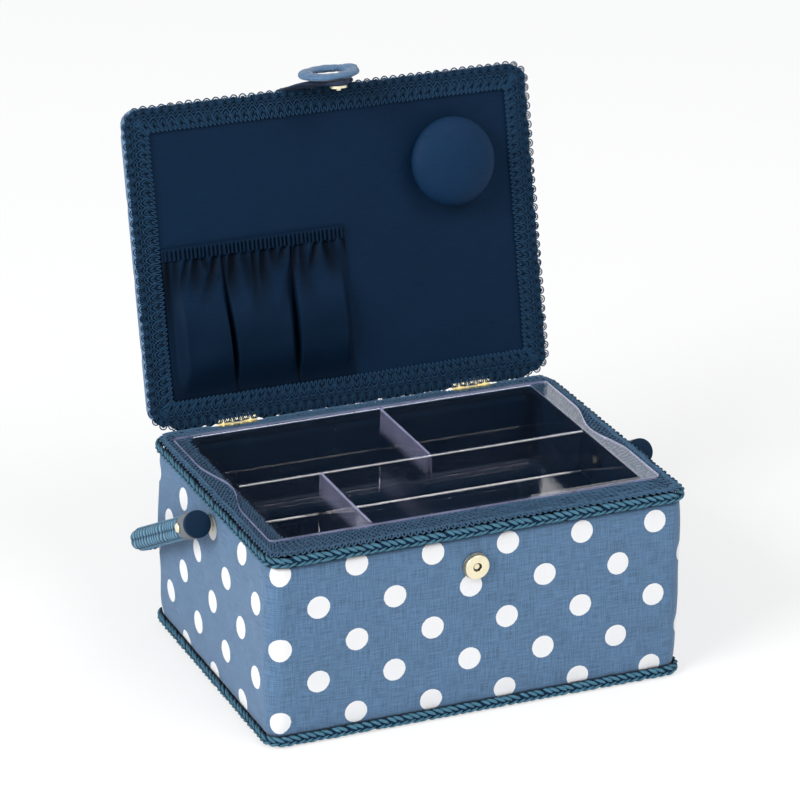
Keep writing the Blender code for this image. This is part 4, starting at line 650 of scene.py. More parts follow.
def make_tray(sizes, colours):
    """Clear moulded tray as one closed sheet: its face is a height over the plan.

    In a compartment the height depends on the distance to the nearest of its four walls: a
    rounded edge, a drafted wall, a quarter circle at the foot and the floor. The underside is
    the same at the tray's outer wall. Outside, the plate's ends are drawn in to leave room for
    a finger, and its corners are rounded.
    """
    low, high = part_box("tray")
    bottom, top = low[2], high[2]
    half, plate = (0.1093, 0.0753), (0.1195, 0.0775)
    wall, draft, foot, thick, round_off = 0.0014, 0.0012, 0.0018, 0.0013, 0.0032
    floor = bottom + wall
    inner = (half[0] - wall, half[1] - wall)
    long_faces, rear_faces, front_faces = (0.0004, 0.0016), (0.0104, 0.0116), (-0.0581, -0.0569)
    x_walls = [(-inner[0], 1), (front_faces[0], -1), (front_faces[1], 1),
               (rear_faces[0], -1), (rear_faces[1], 1), (inner[0], -1)]
    y_walls = [(-inner[1], 1), (long_faces[0], -1), (long_faces[1], 1), (inner[1], -1)]
    x, y = np.meshgrid(tray_lines(x_walls, half[0], plate[0], 22), tray_lines(y_walls, half[1], plate[1], 30))
    rear_row, front_row = (long_faces[1], inner[1]), (-inner[1], long_faces[0])
    rooms = (((-inner[0], rear_faces[0]), rear_row), ((rear_faces[1], inner[0]), rear_row),
             ((-inner[0], front_faces[0]), front_row), ((front_faces[1], inner[0]), front_row))
    divider_top = top - 0.0010
    in_well = (np.abs(x) <= inner[0] + 1e-7) & (np.abs(y) <= inner[1] + 1e-7)
    face = np.where(in_well, divider_top, top)
    # The mask paints lilac light on the tops of the walls and dividers, dimmer on the long divider
    tone = np.where(in_well, np.where(np.abs(y - 0.001) < 0.0008, 0.50, 0.75), 0.0)
    lip, lip_drop, wall_foot = 0.00034, 0.00055, draft + 0.0001

    def quarter_bow(share):
        return foot * (1 - np.sqrt(np.maximum(1 - (1 - np.clip(share, 0, 1)) ** 2, 0.0)))

    for index, ((left, right), (front, rear)) in enumerate(rooms):
        deep = np.minimum(np.minimum(x - left, right - x), np.minimum(y - front, rear - y))
        inside = deep >= -1e-7
        by_outer = np.minimum(inner[0] - np.abs(x), inner[1] - np.abs(y)) <= deep + 1e-7
        edge = np.where(by_outer, top, divider_top)
        drop = np.interp(deep, [0.0, 0.00010, 0.00022, lip], [0.0, -0.00006, -0.00020, -lip_drop])
        lip_edge = edge - lip_drop
        slant = lip_edge + (floor + foot - lip_edge) * np.clip((deep - lip) / (wall_foot - lip), 0, 1)
        curve = floor + quarter_bow((deep - wall_foot) / foot)
        level = np.where(deep < lip, edge + drop, np.where(deep < wall_foot, slant, curve))
        face = np.where(inside, level, face)
        by_long = (np.where(index < 2, y - front, rear - y) <= deep + 1e-7) & ~by_outer
        # Painted light along the lips of the compartments
        rim = np.where(by_long, 0.50, 0.8) * smooth((0.0004 - deep) / 0.0003)
        glint = (0.10 if index < 2 else 0.26) * np.exp(-((deep - 0.0022) / 0.0006) ** 2)
        by_cross = (np.minimum(x - left, right - x) <= deep + 1e-7) & ~by_outer & (deep < 0.0016)
        # Painted light on the cross dividers, stronger towards their tops
        painted_cross_light = 0.56 * by_cross * smooth((level - floor) / 0.012)
        tone = np.where(inside, np.maximum(np.maximum(rim, painted_cross_light), glint), tone)
    outside = np.minimum(half[0] - np.abs(x), half[1] - np.abs(y))
    plate_under = top - thick
    under = np.where(outside < 0, plate_under, np.where(
        outside < draft, plate_under + (bottom + foot - plate_under) * outside / draft,
        bottom + quarter_bow((outside - draft) / foot)))
    flange = plate[0] - half[0]
    waist = flange - 0.0070 * smooth(1 - np.abs(y) / 0.036)
    past = np.maximum(np.abs(y) - (plate[1] - round_off), 0.0)
    width = waist - (round_off - np.sqrt(np.maximum(round_off ** 2 - past ** 2, 0.0)))
    plan_x = np.where(np.abs(x) > half[0], np.sign(x) * (half[0] + (np.abs(x) - half[0]) / flange * width), x)
    # The plate's outer edges take the painted lilac light too
    by_edge = (np.abs(plan_x) > half[0] + width - 0.0004) | (np.abs(y) > plate[1] - 0.0004)
    upper = stacked(plan_x, y + OPENING_MIDDLE_Y, face)
    lower = stacked(plan_x, y + OPENING_MIDDLE_Y, under)
    parts = slab_parts(upper, lower, stacked(x, y), np.where(by_edge, 0.75, tone))
    parts[1] = part(lower, stacked(x, y), tone=np.where(by_edge, 0.85, 0.0))
    tray = make_piece("clear_tray", parts, clear_finish("clear_styrene", colours.tray), weld=True)
    shown(sharpen(tray, 35), "tray", "clear_plastic", "tray")


def shown(item, body, slot, *nodes):
    """Ride on a body and stand for CAD nodes. The slot is not used."""
    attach(item, body)
    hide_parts(*nodes)


def make_case_cover(sizes, colours):
    """Padded walls of the case.

    Each point goes round the case's outline at a height. Its outer face stands out by a crown
    of one less the fourth power of the distance from mid height, plus a slow unrest that dies
    away at the cords and at the corners.
    """
    steps, levels = 420, 46
    share = shares(steps)
    up = np.linspace(0.0, 1.0, levels)
    height = COVER_BOTTOM + (COVER_TOP - COVER_BOTTOM) * up
    crown = 1 - (2 * up - 1) ** 4
    face_inset = COVER_INSET - COVER_CROWN
    run = outline_length(CASE, face_inset) * (share - 0.5)
    grid_run, grid_height = np.meshgrid(run[:-1], height)
    unrest = waves(grid_run, grid_height * 1.2, 11, 9, 0.030, 0.085) * sizes.padding_wave
    tucks = waves(grid_run, grid_height * 0.25, 5, 6, 0.010, 0.022) * 0.00014
    near_cord = np.exp(-np.minimum(grid_height - COVER_BOTTOM, COVER_TOP - grid_height) / 0.006)
    inset = COVER_INSET - crown[:, None] * (COVER_CROWN + unrest) + tucks * near_cord
    outer = stacked(*outline(CASE, inset, share[:-1], face_inset), grid_height)
    hem = COVER_BOTTOM - 0.0035
    inner = [stacked(*outline(CASE, COVER_INSET + tuck, share[:-1], face_inset), level)
             for level, tuck in ((COVER_TOP, 0.0012), (COVER_BOTTOM, 0.0012), (hem, 0.0007))]
    points = np.concatenate([outer, inner])
    front_end = -0.110
    sag = np.where(run > front_end, -0.0258 * (run - front_end), -0.0085 * smooth((front_end - run) / 0.120))
    rows = np.concatenate([height, [COVER_TOP, COVER_BOTTOM, hem, COVER_BOTTOM]])
    uv = stacked(run, rows[:, None] - sag)
    finish = denim_finish("dotted_denim", colours, sizes, True)
    cover = make_piece("case_cover", [part(points, uv, True, True)], finish)
    shown(cover, "box", "denim_dots", "box_cover", "wall_wadding")


def make_case_linings(sizes, colours):
    """Lining of the walls, pad on the floor and cloth under the base.

    The lining goes round the inner outline at two faces, with a slow unrest. The pad and the
    base cloth are sheets over the plan whose faces rise by a small crown towards the middle.
    """
    # Painted shade: the case's lining is the lining colour at 0.60, for the shade inside the case
    finish = lining_finish("shaded_navy_lining", shade(colours.lining, 0.60), level=0.04)
    steps, levels = 240, 20
    share = shares(steps)
    height = np.linspace(0.0042, 0.1122, levels)
    length = outline_length(CASE, LINING_INSET)
    grid_run, grid_height = np.meshgrid(share[:-1] * length, height)
    unrest = waves(grid_run, grid_height, 21, 8, 0.025, 0.070) * 0.00012
    inner = stacked(*outline(CASE, 0.0140 + unrest, share[:-1], LINING_INSET), grid_height)
    back = [stacked(*outline(CASE, 0.0134, share[:-1], LINING_INSET), level) for level in height[[-1, 0]]]
    uv = stacked(share * length, np.append(height, height[[-1, 0, 0]])[:, None])
    walls = make_piece("case_lining", [part(np.concatenate([inner, back]), uv, True, True)], finish)
    shown(walls, "box", "navy_cloth", "box_lining")
    flats = (("floor_lining", "floor_pad", (0.1155, 0.0805), 0.0042, 0.0057, 0.0002),
             ("under_cloth", "base_cloth", (0.1237, 0.0887), 0.0000, 0.0006, 0.0))
    for name, node, half, low, high, swell in flats:
        x, y = np.meshgrid(np.linspace(-half[0], half[0], 60), np.linspace(-half[1], half[1], 44))
        lift = swell * (waves(x, y, 31, 8, 0.03, 0.09) - 1) * dome(x, y, half)
        sheet = slab_parts(stacked(x, y, high + lift), stacked(x, y, low), stacked(x, y))
        item = make_piece(name, sheet, finish, weld=True)
        shown(sharpen(item, 50), "box", "navy_cloth", node)


def make_cords(sizes, colours):
    """Plaited cords round the top and the bottom of the case.

    Each cord is a core under two rows of lobes, and the core takes the dark ground colour as a
    painted shade between them. A lobe's middle line starts by the groove at mid height and runs
    back along the cord; it climbs by a sine towards the cord's edge, while it sinks from its face
    by a cosine. Its thickness is a power of a sine, so both ends close, and a cosine round it
    parts it into plies. Its mask paints light on its middle and upper side and shade at its
    ends, underneath and by the groove.
    """
    # The ground colour is a painted shade, for the core and the gaps between the lobes
    finish = yarn_finish("cord_yarn", colours.cord, (0.003, 0.018, 0.045), ply=0.010, plies=4,
                         sheen=0.05, contrast=0.40)
    length = outline_length(CASE, CORD_INSET)
    count = int(round(length / sizes.lobe_pitch))
    rng = np.random.default_rng(14)
    along = np.linspace(0.0, 1.0, 10)
    turn = TURN * shares(12)[:-1]
    share = shares(240)
    for node, level in CORD_HEIGHTS.items():
        jitter = rng.normal(0.0, 1.0, (4, count, 2, 1))
        side = np.array([[1.0], [-1.0]])
        start = (np.arange(count)[:, None, None] + np.array([[0.0], [0.5]]) + 0.05 * jitter[0]) / count
        reach = 0.0076 * (1 + 0.10 * jitter[1])
        run = -reach * along
        climb = side * (-0.00045 + (0.00300 + 0.00010 * jitter[2]) * np.sin(np.pi / 2 * along))
        stand = 0.0016 * np.cos(np.pi / 2 * along ** 1.4) - 0.0006 + 0.00008 * jitter[3]
        thick = 0.00112 * np.sin(np.pi * (0.06 + 0.88 * along)) ** 0.7
        line = stacked(run, climb, stand)
        ahead = unit(np.gradient(line, axis=-2))
        across = unit(np.cross(ahead, UP))
        lift = np.cross(across, ahead)
        plies = 0.90 + 0.14 * np.abs(np.cos(1.5 * turn + 1.6 * along[:, None]))
        radius = thick[..., :, None] * plies
        ring = np.cos(turn)[:, None] * across[..., None, :] + np.sin(turn)[:, None] * lift[..., None, :]
        body = line[..., None, :] + radius[..., None] * ring
        tips = [np.repeat(body[..., [end], :, :].mean(-2, keepdims=True), 12, -2) for end in (0, -1)]
        body = np.concatenate([tips[0], body, tips[1]], -3)
        x, y = outline(CASE, CORD_INSET - body[..., 2],
                       start[..., None] + body[..., 0] / length, CORD_INSET)
        near_hinge = by_hinges(x, 0.017, 0.003) * smooth((y - 0.080) / 0.004)
        height = level + body[..., 1] - 0.0006 * near_hinge * smooth(body[..., 1] / 0.002)
        # Painted light and shade: deep is the lit share of a lobe, high at its middle and where it faces up,
        # low at its ends, underneath and by the groove
        crest = np.pad(np.sin(np.pi * along) ** 0.6, 1)[:, None]
        facing = np.pad(ring[..., 2], ((0, 0), (0, 0), (1, 1), (0, 0)))
        groove = smooth((0.0005 - np.abs(body[..., 1])) / 0.0006)
        deep = crest * smooth((facing + 0.15) / 0.95) * (1 - 0.8 * groove)
        uv = stacked(shares(12), np.concatenate([[0], along, [1]])[:, None] * 0.007)
        lobes = part(stacked(x, y, height), uv, False, True, 0.06 + 0.94 * deep)
        path = stacked(*outline(CASE, CORD_INSET, share[:-1], CORD_INSET), level)
        core = tube(path, 0.0023, 12, UP, 0.0, flat=0.72)
        shown(make_piece(f"{node}_plait", [lobes, core], finish, weld=True), "box", "teal_cord", node)


def curved_way(knots, units, fineness):
    """Repeating curve through knots of (unit along, lane, height).

    Between two knots each coordinate follows a cubic whose slope at a knot is half the step
    from the knot before it to the knot after it. The last knot leads to the first, units later.
    """
    knots = np.asarray(knots, float)
    ahead = np.roll(knots, -1, 0)
    ahead[-1, 0] += units
    before = np.roll(knots, 1, 0)
    before[0, 0] -= units
    second = np.roll(ahead, -1, 0)
    second[-1, 0] += units
    s = (np.arange(fineness) / fineness)[None, :, None]
    a, b = knots[:, None], ahead[:, None]
    slope_a, slope_b = (b - before[:, None]) / 2, (second[:, None] - a) / 2
    curve = a * (2 * s ** 3 - 3 * s ** 2 + 1) + slope_a * (s ** 3 - 2 * s ** 2 + s) \
        + b * (3 * s ** 2 - 2 * s ** 3) + slope_b * (s ** 3 - s ** 2)
    return curve.reshape(-1, 3)


def gimp_yarn(place, knots, units, periods, shift, fineness, radius, sides, up, seed,
              turn=lambda points: points, tone=1.0, stray=1.0):
    """One yarn of a looped braid: a repeating curve laid round the lane, with a little stray."""
    unit_curve = curved_way(knots, units, fineness)
    repeats = periods // units
    along = (unit_curve[None, :, 0] + units * np.arange(repeats)[:, None] + shift).ravel() / periods
    lane, height = np.tile(unit_curve[:, 1], repeats), np.tile(unit_curve[:, 2], repeats)
    lane = lane + 0.18 * stray * waves(along * periods, 0 * along, seed, 6, 1.3, 7.0)
    height = height + 0.10 * waves(along * periods, 0 * along, seed + 9, 6, 0.8, 5.0)
    path = turn(place(lane * 0.001, along, height * 0.001))
    return tube(path, radius, sides, up, tone)


def gimp_ground(place, length, lanes, face, back, rough, seed, highest_tone, turn=lambda points: points):
    """Fleecy ground of a braid, in a dark painted shade between the yarns: a sheet whose face and
    mask follow one seeded grain, so that its low points take more painted shade.
    """
    rng = np.random.default_rng(seed)
    steps = int(length / 0.00080)
    share = shares(steps)
    grain = rng.random((len(lanes), steps))
    grain[[0, -1]] *= 0.3
    top = place(lanes[:, None], share[None, :-1], face + rough * (grain - 0.5))
    under_lanes = lanes[[-1, 3, 2, 1, 0]]
    under = place(under_lanes[:, None], share[None, :-1], back)
    points = turn(np.concatenate([top, under]))
    reach = np.concatenate([lanes - lanes[0], 2 * lanes[-1] - lanes[0] - under_lanes + 0.001,
                            [2 * (lanes[-1] - lanes[0]) + 0.002]])
    uv = stacked(share * length, reach[:, None])
    tone = np.pad(highest_tone * grain ** 1.5, ((0, len(under_lanes)), (0, 0)))
    return part(points, uv, True, True, tone)


def rim_place(lane, share, height):
    """Point of the rim's braid at a distance in from its outer edge and a share of the way round.

    The lane is drawn narrower or wider with the rim itself. Behind, the braid reaches back over
    the cord and rises a little, to meet the lid, but lies low by the two hinges.
    """
    lane, share, height = np.broadcast_arrays(lane, share, height)
    outer_x, outer_y = outline(CASE, RIM_INSET, share, RIM_INSET)
    inner_x, inner_y = outline(OPENING, 0.0, share, 0.0)
    mix = lane / RIM_WIDTH
    behind = smooth((outer_y - 0.080) / 0.008) * (1 - np.clip(mix, 0, 1)) ** 2
    x = outer_x * (1 - mix) + inner_x * mix
    y = outer_y * (1 - mix) + (inner_y + OPENING_MIDDLE_Y) * mix + 0.0016 * behind
    by_hinge = by_hinges(x, 0.0185, 0.0030)
    rise = 0.0008 * smooth((y - 0.0885) / 0.0020) * (1 - by_hinge) - 0.0002 * by_hinge
    return stacked(x, y, height + rise)


def make_rim_braid(sizes, colours):
    """Looped braid on the rim: a fleecy ground, wavy yarns over it and fans at its outer edge."""
    # The ground colour is the painted shade between the loops
    finish = yarn_finish("rim_yarn", colours.rim, (0.004, 0.022, 0.055), ply=0.0011, plies=2,
                         sheen=0.06, contrast=0.45)
    length = outline_length(CASE, RIM_INSET)
    low, high = RIM_TOP - 0.0015, RIM_TOP - 0.0004
    lanes = np.linspace(-0.0004, 0.0131, 20)
    parts = [gimp_ground(rim_place, length, lanes, high, low, 0.0010, 51, 0.70)]
    periods = 2 * int(round(length / sizes.rim_loop_pitch / 2))
    top = (high + 0.0003) * 1000
    zigzag = [(0.0, 0.9, 0.2), (0.25, 0.0, 0.4), (0.5, -0.9, 0.2), (0.75, 0.0, -0.3)]
    for index, lane in enumerate((1.7, 3.6, 5.5, 7.4, 9.3, 11.1, 12.3)):
        knots = [(a, lane + 1.25 * b, top + h) for a, b, h in zigzag]
        parts.append(gimp_yarn(rim_place, knots, 1, periods, 0.37 * index, 2,
                               sizes.gimp_yarn * 0.5, 4, UP, 60 + index, tone=0.9, stray=2.6))
    fan = [(0.0, 1.6, 0.2), (0.12, 0.3, 0.3), (0.25, -1.3, 0.0),
           (0.5, -2.1, -0.7), (0.75, -1.3, 0.0), (0.88, 0.3, 0.3)]
    for index, shrink in enumerate((1.0, 0.55)):
        knots = [(0.5 + (a - 0.5) * (0.6 + 0.4 * shrink), (b - 1.0) * shrink + 1.0, top + h)
                 for a, b, h in fan]
        parts.append(gimp_yarn(rim_place, knots, 1, periods, 0.5 * index, 2, sizes.gimp_yarn * 0.55, 4, UP,
                               80 + index, stray=2.0))
    shown(make_piece("rim_gimp", parts, finish), "box", "navy_braid", "rim_braid")


def lid_place(lane, share, height):
    """Point of the lid's braid at a distance in from the lid's edge and a share of the way round.

    By the two hinges the braid stays short and its rear edge passes over the hinge's barrel.
    """
    lane, share, height = np.broadcast_arrays(lane, share, height)
    x, y = outline(LID, lane, share, 0.0)
    y = y - LID_MIDDLE
    by_hinge = by_hinges(x, 0.0156, 0.0025) * smooth((y + 0.004) / 0.001)
    y = np.where(by_hinge > 0, y * (1 - by_hinge) + np.minimum(y, 0.0004) * by_hinge, y)
    over = by_hinge * smooth((y + 0.0024) / 0.0010)
    return stacked(x, y, height * (1 - over) + (0.6 * height - 0.0024) * over)


def make_lid_braid(sizes, colours):
    """Looped braid round the lid's edge.

    Two yarns take turns: one makes a pair of small loops at the inner edge while the other
    arches over it, and they cross between. Waves fill the middle, and arches within arches
    make the scallops outside. Behind, the scallops are longer and reach down to the rim.
    """
    finish = yarn_finish("lid_yarn", colours.gimp, colours.gimp_ground, ply=0.0009, plies=2,
                         sheen=0.03, contrast=0.3)
    length = outline_length(LID)
    lanes = np.linspace(0.0003, 0.0131, 17)

    def place(lane, share, height):
        behind = np.minimum(share % 1.0, 1 - share % 1.0) * length < LID_HALF[0] - 0.012
        return lid_place(lane - 0.0011 * behind * smooth((0.002 - lane) / 0.002), share, height)

    def ground_place(lane, share, height):
        around = np.minimum(share % 1.0, 1 - share % 1.0) * length
        behind = smooth((LID_HALF[0] - 0.010 - around) / 0.006)
        reach = 0.0004 + 0.0034 * behind + 0.0005 * waves(share * length, 0 * share, 77, 12, 0.002, 0.011)
        return lid_place(lane - reach * smooth((0.0012 - lane) / 0.0009), share, height)

    parts = [gimp_ground(ground_place, length, lanes, 0.0016, 0.0022, 0.0005, 71, 0.42, from_lid)]
    periods = 2 * int(round(length / sizes.lid_loop_pitch / 2))
    up = from_lid(UP) - from_lid(0 * UP)
    face = 1.15
    looped = [(0.00, 8.6, -0.3), (0.10, 11.0, 0), (0.13, 13.0, 0), (0.25, 14.1, 0.1), (0.37, 13.0, 0),
              (0.42, 11.9, 0), (0.50, 11.3, -0.1), (0.58, 11.9, 0), (0.63, 13.0, 0), (0.75, 14.1, 0.1),
              (0.87, 13.0, 0), (0.90, 11.0, 0), (1.00, 8.6, 0.3), (1.15, 7.0, 0), (1.32, 5.7, -0.1),
              (1.50, 5.2, -0.2), (1.68, 5.7, -0.1), (1.85, 7.0, 0)]
    nested = [(0.0, 10.1, 0.2), (0.22, 9.0, 0), (0.38, 7.6, -0.1),
              (0.5, 7.1, -0.1), (0.62, 7.6, -0.1), (0.78, 9.0, 0)]
    middle = [(0.0, 5.8, 0.1), (0.25, 4.2, 0), (0.5, 3.3, -0.2), (0.75, 4.2, 0)]
    scallop = [(0.0, 2.6, 0), (0.10, 1.2, 0), (0.13, -0.2, 0), (0.26, -1.3, 0), (0.5, -1.8, 0.1),
               (0.74, -1.3, 0), (0.87, -0.2, 0), (0.90, 1.2, 0)]
    inner_arch = [(0.0, 3.4, 0), (0.22, 1.6, 0), (0.30, 0.2, 0),
                  (0.5, -0.8, 0), (0.70, 0.2, 0), (0.78, 1.6, 0)]
    fill = [(0.0, 3.9, 0.1), (0.32, 1.9, 0), (0.5, 0.4, 0), (0.68, 1.9, 0)]
    meander = [(0.00, 10.6, 0), (0.12, 9.2, 0), (0.25, 7.5, -0.1), (0.38, 9.2, 0),
               (0.50, 10.6, 0), (0.62, 9.2, 0), (0.75, 7.5, -0.1), (0.88, 9.2, 0)]
    # Knots, scallops to a repeat, shift, sides of the yarn, steps between knots and tone
    yarns = ((meander, 1, 0.25, 4, 1, 0.8), (looped, 2, 0, 5, 2, 1.0), (looped, 2, 1, 5, 2, 1.0),
             (nested, 1, 0, 4, 2, 0.85), (middle, 1, 0, 4, 2, 0.75), (middle, 1, 0.5, 4, 2, 0.6),
             (scallop, 1, 0, 5, 2, 0.95), (inner_arch, 1, 0, 4, 2, 0.6), (fill, 1, 0, 4, 2, 0.5))
    for index, (knots, units, shift, sides, fineness, tone) in enumerate(yarns):
        knots = [(a, b, face + h) for a, b, h in knots]
        parts.append(gimp_yarn(place, knots, units, periods, shift, fineness, sizes.gimp_yarn / 2,
                               sides, up, 90 + index, from_lid, tone))
    shown(make_piece("lid_gimp", parts, finish), "lid", "navy_braid", "lid_braid")


def make_lid_cover(sizes, colours):
    """Padded cover of the lid.

    Rings follow the lid's outline at insets. They rise up its side, turn over a rounded edge by
    a quarter circle, and cross the top, whose crown is the product of one less the fourth power
    of the distance from the middle in both directions.
    """
    steps = 300
    share = shares(steps)
    quarter = np.pi / 2 * np.linspace(0, 1, 9)
    rounding = 0.0055
    inset = np.concatenate([[0.0925, 0.045, 0.0013, 0.0013, 0.0003, 0.0, 0.0, 0.0],
                            rounding * (1 - np.cos(quarter)),
                            np.linspace(rounding, 0.0929, 36)[1:]])
    height = np.concatenate([[0.0067, 0.0067, 0.0067, 0.0028, 0.0028, 0.0031, 0.0052, 0.0075],
                             0.0095 + rounding * np.sin(quarter), np.full(35, 0.015)])
    x, y = outline(LID, inset[:, None], share[None, :-1], 0.0)
    level = np.broadcast_to(height[:, None], x.shape).copy()
    upper = smooth((level - 0.012) / 0.003)
    level += upper * dome(x, y, LID_HALF) * (0.0015 + 0.00045 * waves(x, y, 41, 9, 0.035, 0.10))
    points = from_lid(stacked(x, y - LID_MIDDLE, level))
    plan = stacked(*outline(LID, inset[:, None], share[None, :], 0.0))
    spread = np.maximum(0.015 - height, 0.0)[:, None, None]
    uv = plan + unit(plan) * spread + np.array([0.004, 0.009])
    finish = bpy.data.materials["dotted_denim"]
    cover = make_piece("lid_case", [part(points, uv, False, True)], finish, weld=True)
    shown(cover, "lid", "denim_dots", "lid_cover", "lid_wadding")


def make_lid_lining(sizes, colours):
    """Lining sheet inside the lid, drawn smooth, with a slow unrest of its face."""
    finish = lining_finish("lid_lining_cloth", colours.lining, gloss=0.56)
    half = (LID_HALF[0] - 0.0016, LID_HALF[1] - 0.0016)
    x, y = np.meshgrid(np.linspace(-half[0], half[0], 110), np.linspace(-half[1], half[1], 84))
    radius = 0.008
    past_x, past_y = np.maximum(np.abs(x) - half[0] + radius, 0), np.maximum(np.abs(y) - half[1] + radius, 0)
    pull = np.minimum(radius / np.maximum(np.hypot(past_x, past_y), 1e-9), 1.0)
    x = np.sign(x) * (np.minimum(np.abs(x), half[0] - radius) + past_x * pull)
    y = np.sign(y) * (np.minimum(np.abs(y), half[1] - radius) + past_y * pull)
    face = from_lid(stacked(x, y - LID_MIDDLE, 0.0025 + 0.00010 * waves(x, y, 61, 8, 0.03, 0.09)))
    back = from_lid(stacked(x, y - LID_MIDDLE, 0.0031))
    item = make_piece("lid_lining_sheet", slab_parts(face, back, stacked(x, y)), finish, weld=True)
    shown(sharpen(item, 50), "lid", "navy_cloth", "lid_lining")


def pocket_face(across, up, width, pleat):
    """Height of the pocket's cloth over the lining, and the painted shade that it takes.

    The cloth swells from the seams by eased bumps. Pleats, a sharpened cosine across the header,
    turn below it into folds that lean, widen and fade as they run down. Two stitched channels
    sink to the lining between the header and the bottom seam, steep on one side and soft on
    the other. Painted shade fills the folds, the channels and the valleys of the header's pleats,
    grows towards the bottom and in a band below the header, and turns into a painted highlight
    on the ridges between the folds.
    """
    side = smooth(np.minimum((across - 0.030) / 0.060, (1 - across) / 0.050))
    ends = smooth(np.minimum(across / 0.008, (1 - across) / 0.012))
    header = smooth((up - 0.905) / 0.016)
    unrest = 0.09 * np.sin(across * 31) + 0.05 * np.sin(across * 87)
    pleats = np.abs(np.cos(np.pi * (across * width / pleat + unrest)))
    swell = smooth(up / 0.30) * (1 - smooth((up - 0.38) / 0.40))
    rng = np.random.default_rng(8)
    folds = np.zeros_like(across)
    for place in np.linspace(0.015, 0.98, 19):
        lean, reach = rng.uniform(-0.15, 0.15), rng.uniform(0.16, 0.72)
        wide, depth = rng.uniform(0.013, 0.024), rng.uniform(0.6, 1.25)
        down = np.clip((0.915 - up) / reach, 0, 1)
        centre = place + rng.uniform(-0.014, 0.014) + lean * down ** 1.3
        valley = np.exp(-((across - centre) / (wide * (1 + 1.9 * down))) ** 2) * (1 - smooth(down))
        folds = np.maximum(folds, valley * depth)
    body = 0.0046 * swell + 0.0023 * smooth(up / 0.22) - 0.0026 * folds * smooth((0.93 - up) / 0.03)
    body += 0.0006 * waves(across * width, up * 0.09, 17, 7, 0.022, 0.055) * swell
    # Painted shade in the folds below the header
    painted_shade = 0.85 * folds
    for place, lean, soft, steep in ((0.322, 0.030, 0.030, 0.012), (0.700, -0.012, 0.050, 0.009)):
        centre = place + lean * (0.9 - up) / 0.9
        opened = (0.35 + 0.65 * smooth((0.92 - up) / 0.30)) * (0.45 + 0.55 * smooth((up + 0.04) / 0.2))
        away = across - centre
        groove = 1 - smooth(np.where(away < 0, -away / (soft * opened), away / (steep * opened)))
        body = body * (1 - groove * (1 - header))
        # Painted shade in the stitched channels
        painted_shade = np.maximum(painted_shade, (0.25 * groove + 0.75 * groove ** 3) * (1 - header))
    # Painted shade towards the bottom and in a band just below the header
    low_shade = 0.35 * smooth((0.22 - up) / 0.22)
    low_shade += 0.16 * smooth((0.90 - up) / 0.05) * smooth((up - 0.60) / 0.2)
    painted_shade = 1 - (1 - np.clip(painted_shade, 0, 1)) * (1 - low_shade)
    ruche = (0.0004 + 0.0007 * pleats ** 0.8) * (1 - side) + (0.0008 + 0.0016 * pleats ** 0.8) * side
    hem = smooth((up - 0.980) / 0.010)
    ruche = ruche * (1 - hem) + (0.0009 + 0.0011 * side) * hem
    body = np.maximum(body, 0.0) * side * (1 - header) + ruche * header
    # Painted shade in the valleys of the header's pleats, the header as a whole a little lighter
    painted_shade = np.where(header > 0.5, 0.80 * (1 - pleats ** 1.5) * (1 - hem) - 0.25, painted_shade)
    # Painted highlight on the ridges between the folds, fading towards the bottom
    ridge_highlight = (1 - np.clip(folds, 0, 1)) ** 2 * smooth((up - 0.30) / 0.50) * (1 - header)
    return 0.0012 + body * ends, painted_shade - 0.60 * ridge_highlight * (0.4 + 0.6 * side) * (1 - np.clip(painted_shade, 0, 1))


def make_pocket(sizes, colours):
    """Gathered pocket on the lid's lining, open at its ruched header."""
    left, right, start, tall = -0.1117, 0.0030, 0.0163, 0.0890
    width = right - left
    across, up = np.meshgrid(np.linspace(0, 1, 420),
                             np.concatenate([np.linspace(0, 0.9, 90), np.linspace(0.904, 1, 14)]))
    lift, painted_shade = pocket_face(across, up, width, sizes.pocket_pleat)
    x, y = left + across * width, -(start + up * tall)
    front = from_lid(stacked(x, y, 0.0025 - lift))
    back = from_lid(stacked(x, y, 0.0025 - np.maximum(lift - 0.0008, 0.0002)))
    finish = lining_finish("pocket_cloth", colours.lining, gloss=0.50, level=0.05)
    uv = stacked(across * width, up * tall)
    # The mask paints shade: the whole pocket at 0.68 of the lining's colour, and darker still where
    # painted_shade is high
    item = make_piece("gathered_pocket", slab_parts(front, back, uv, 0.68 - 0.65 * painted_shade), finish, weld=True)
    shown(sharpen(item, 75), "lid", "navy_cloth", "pocket")


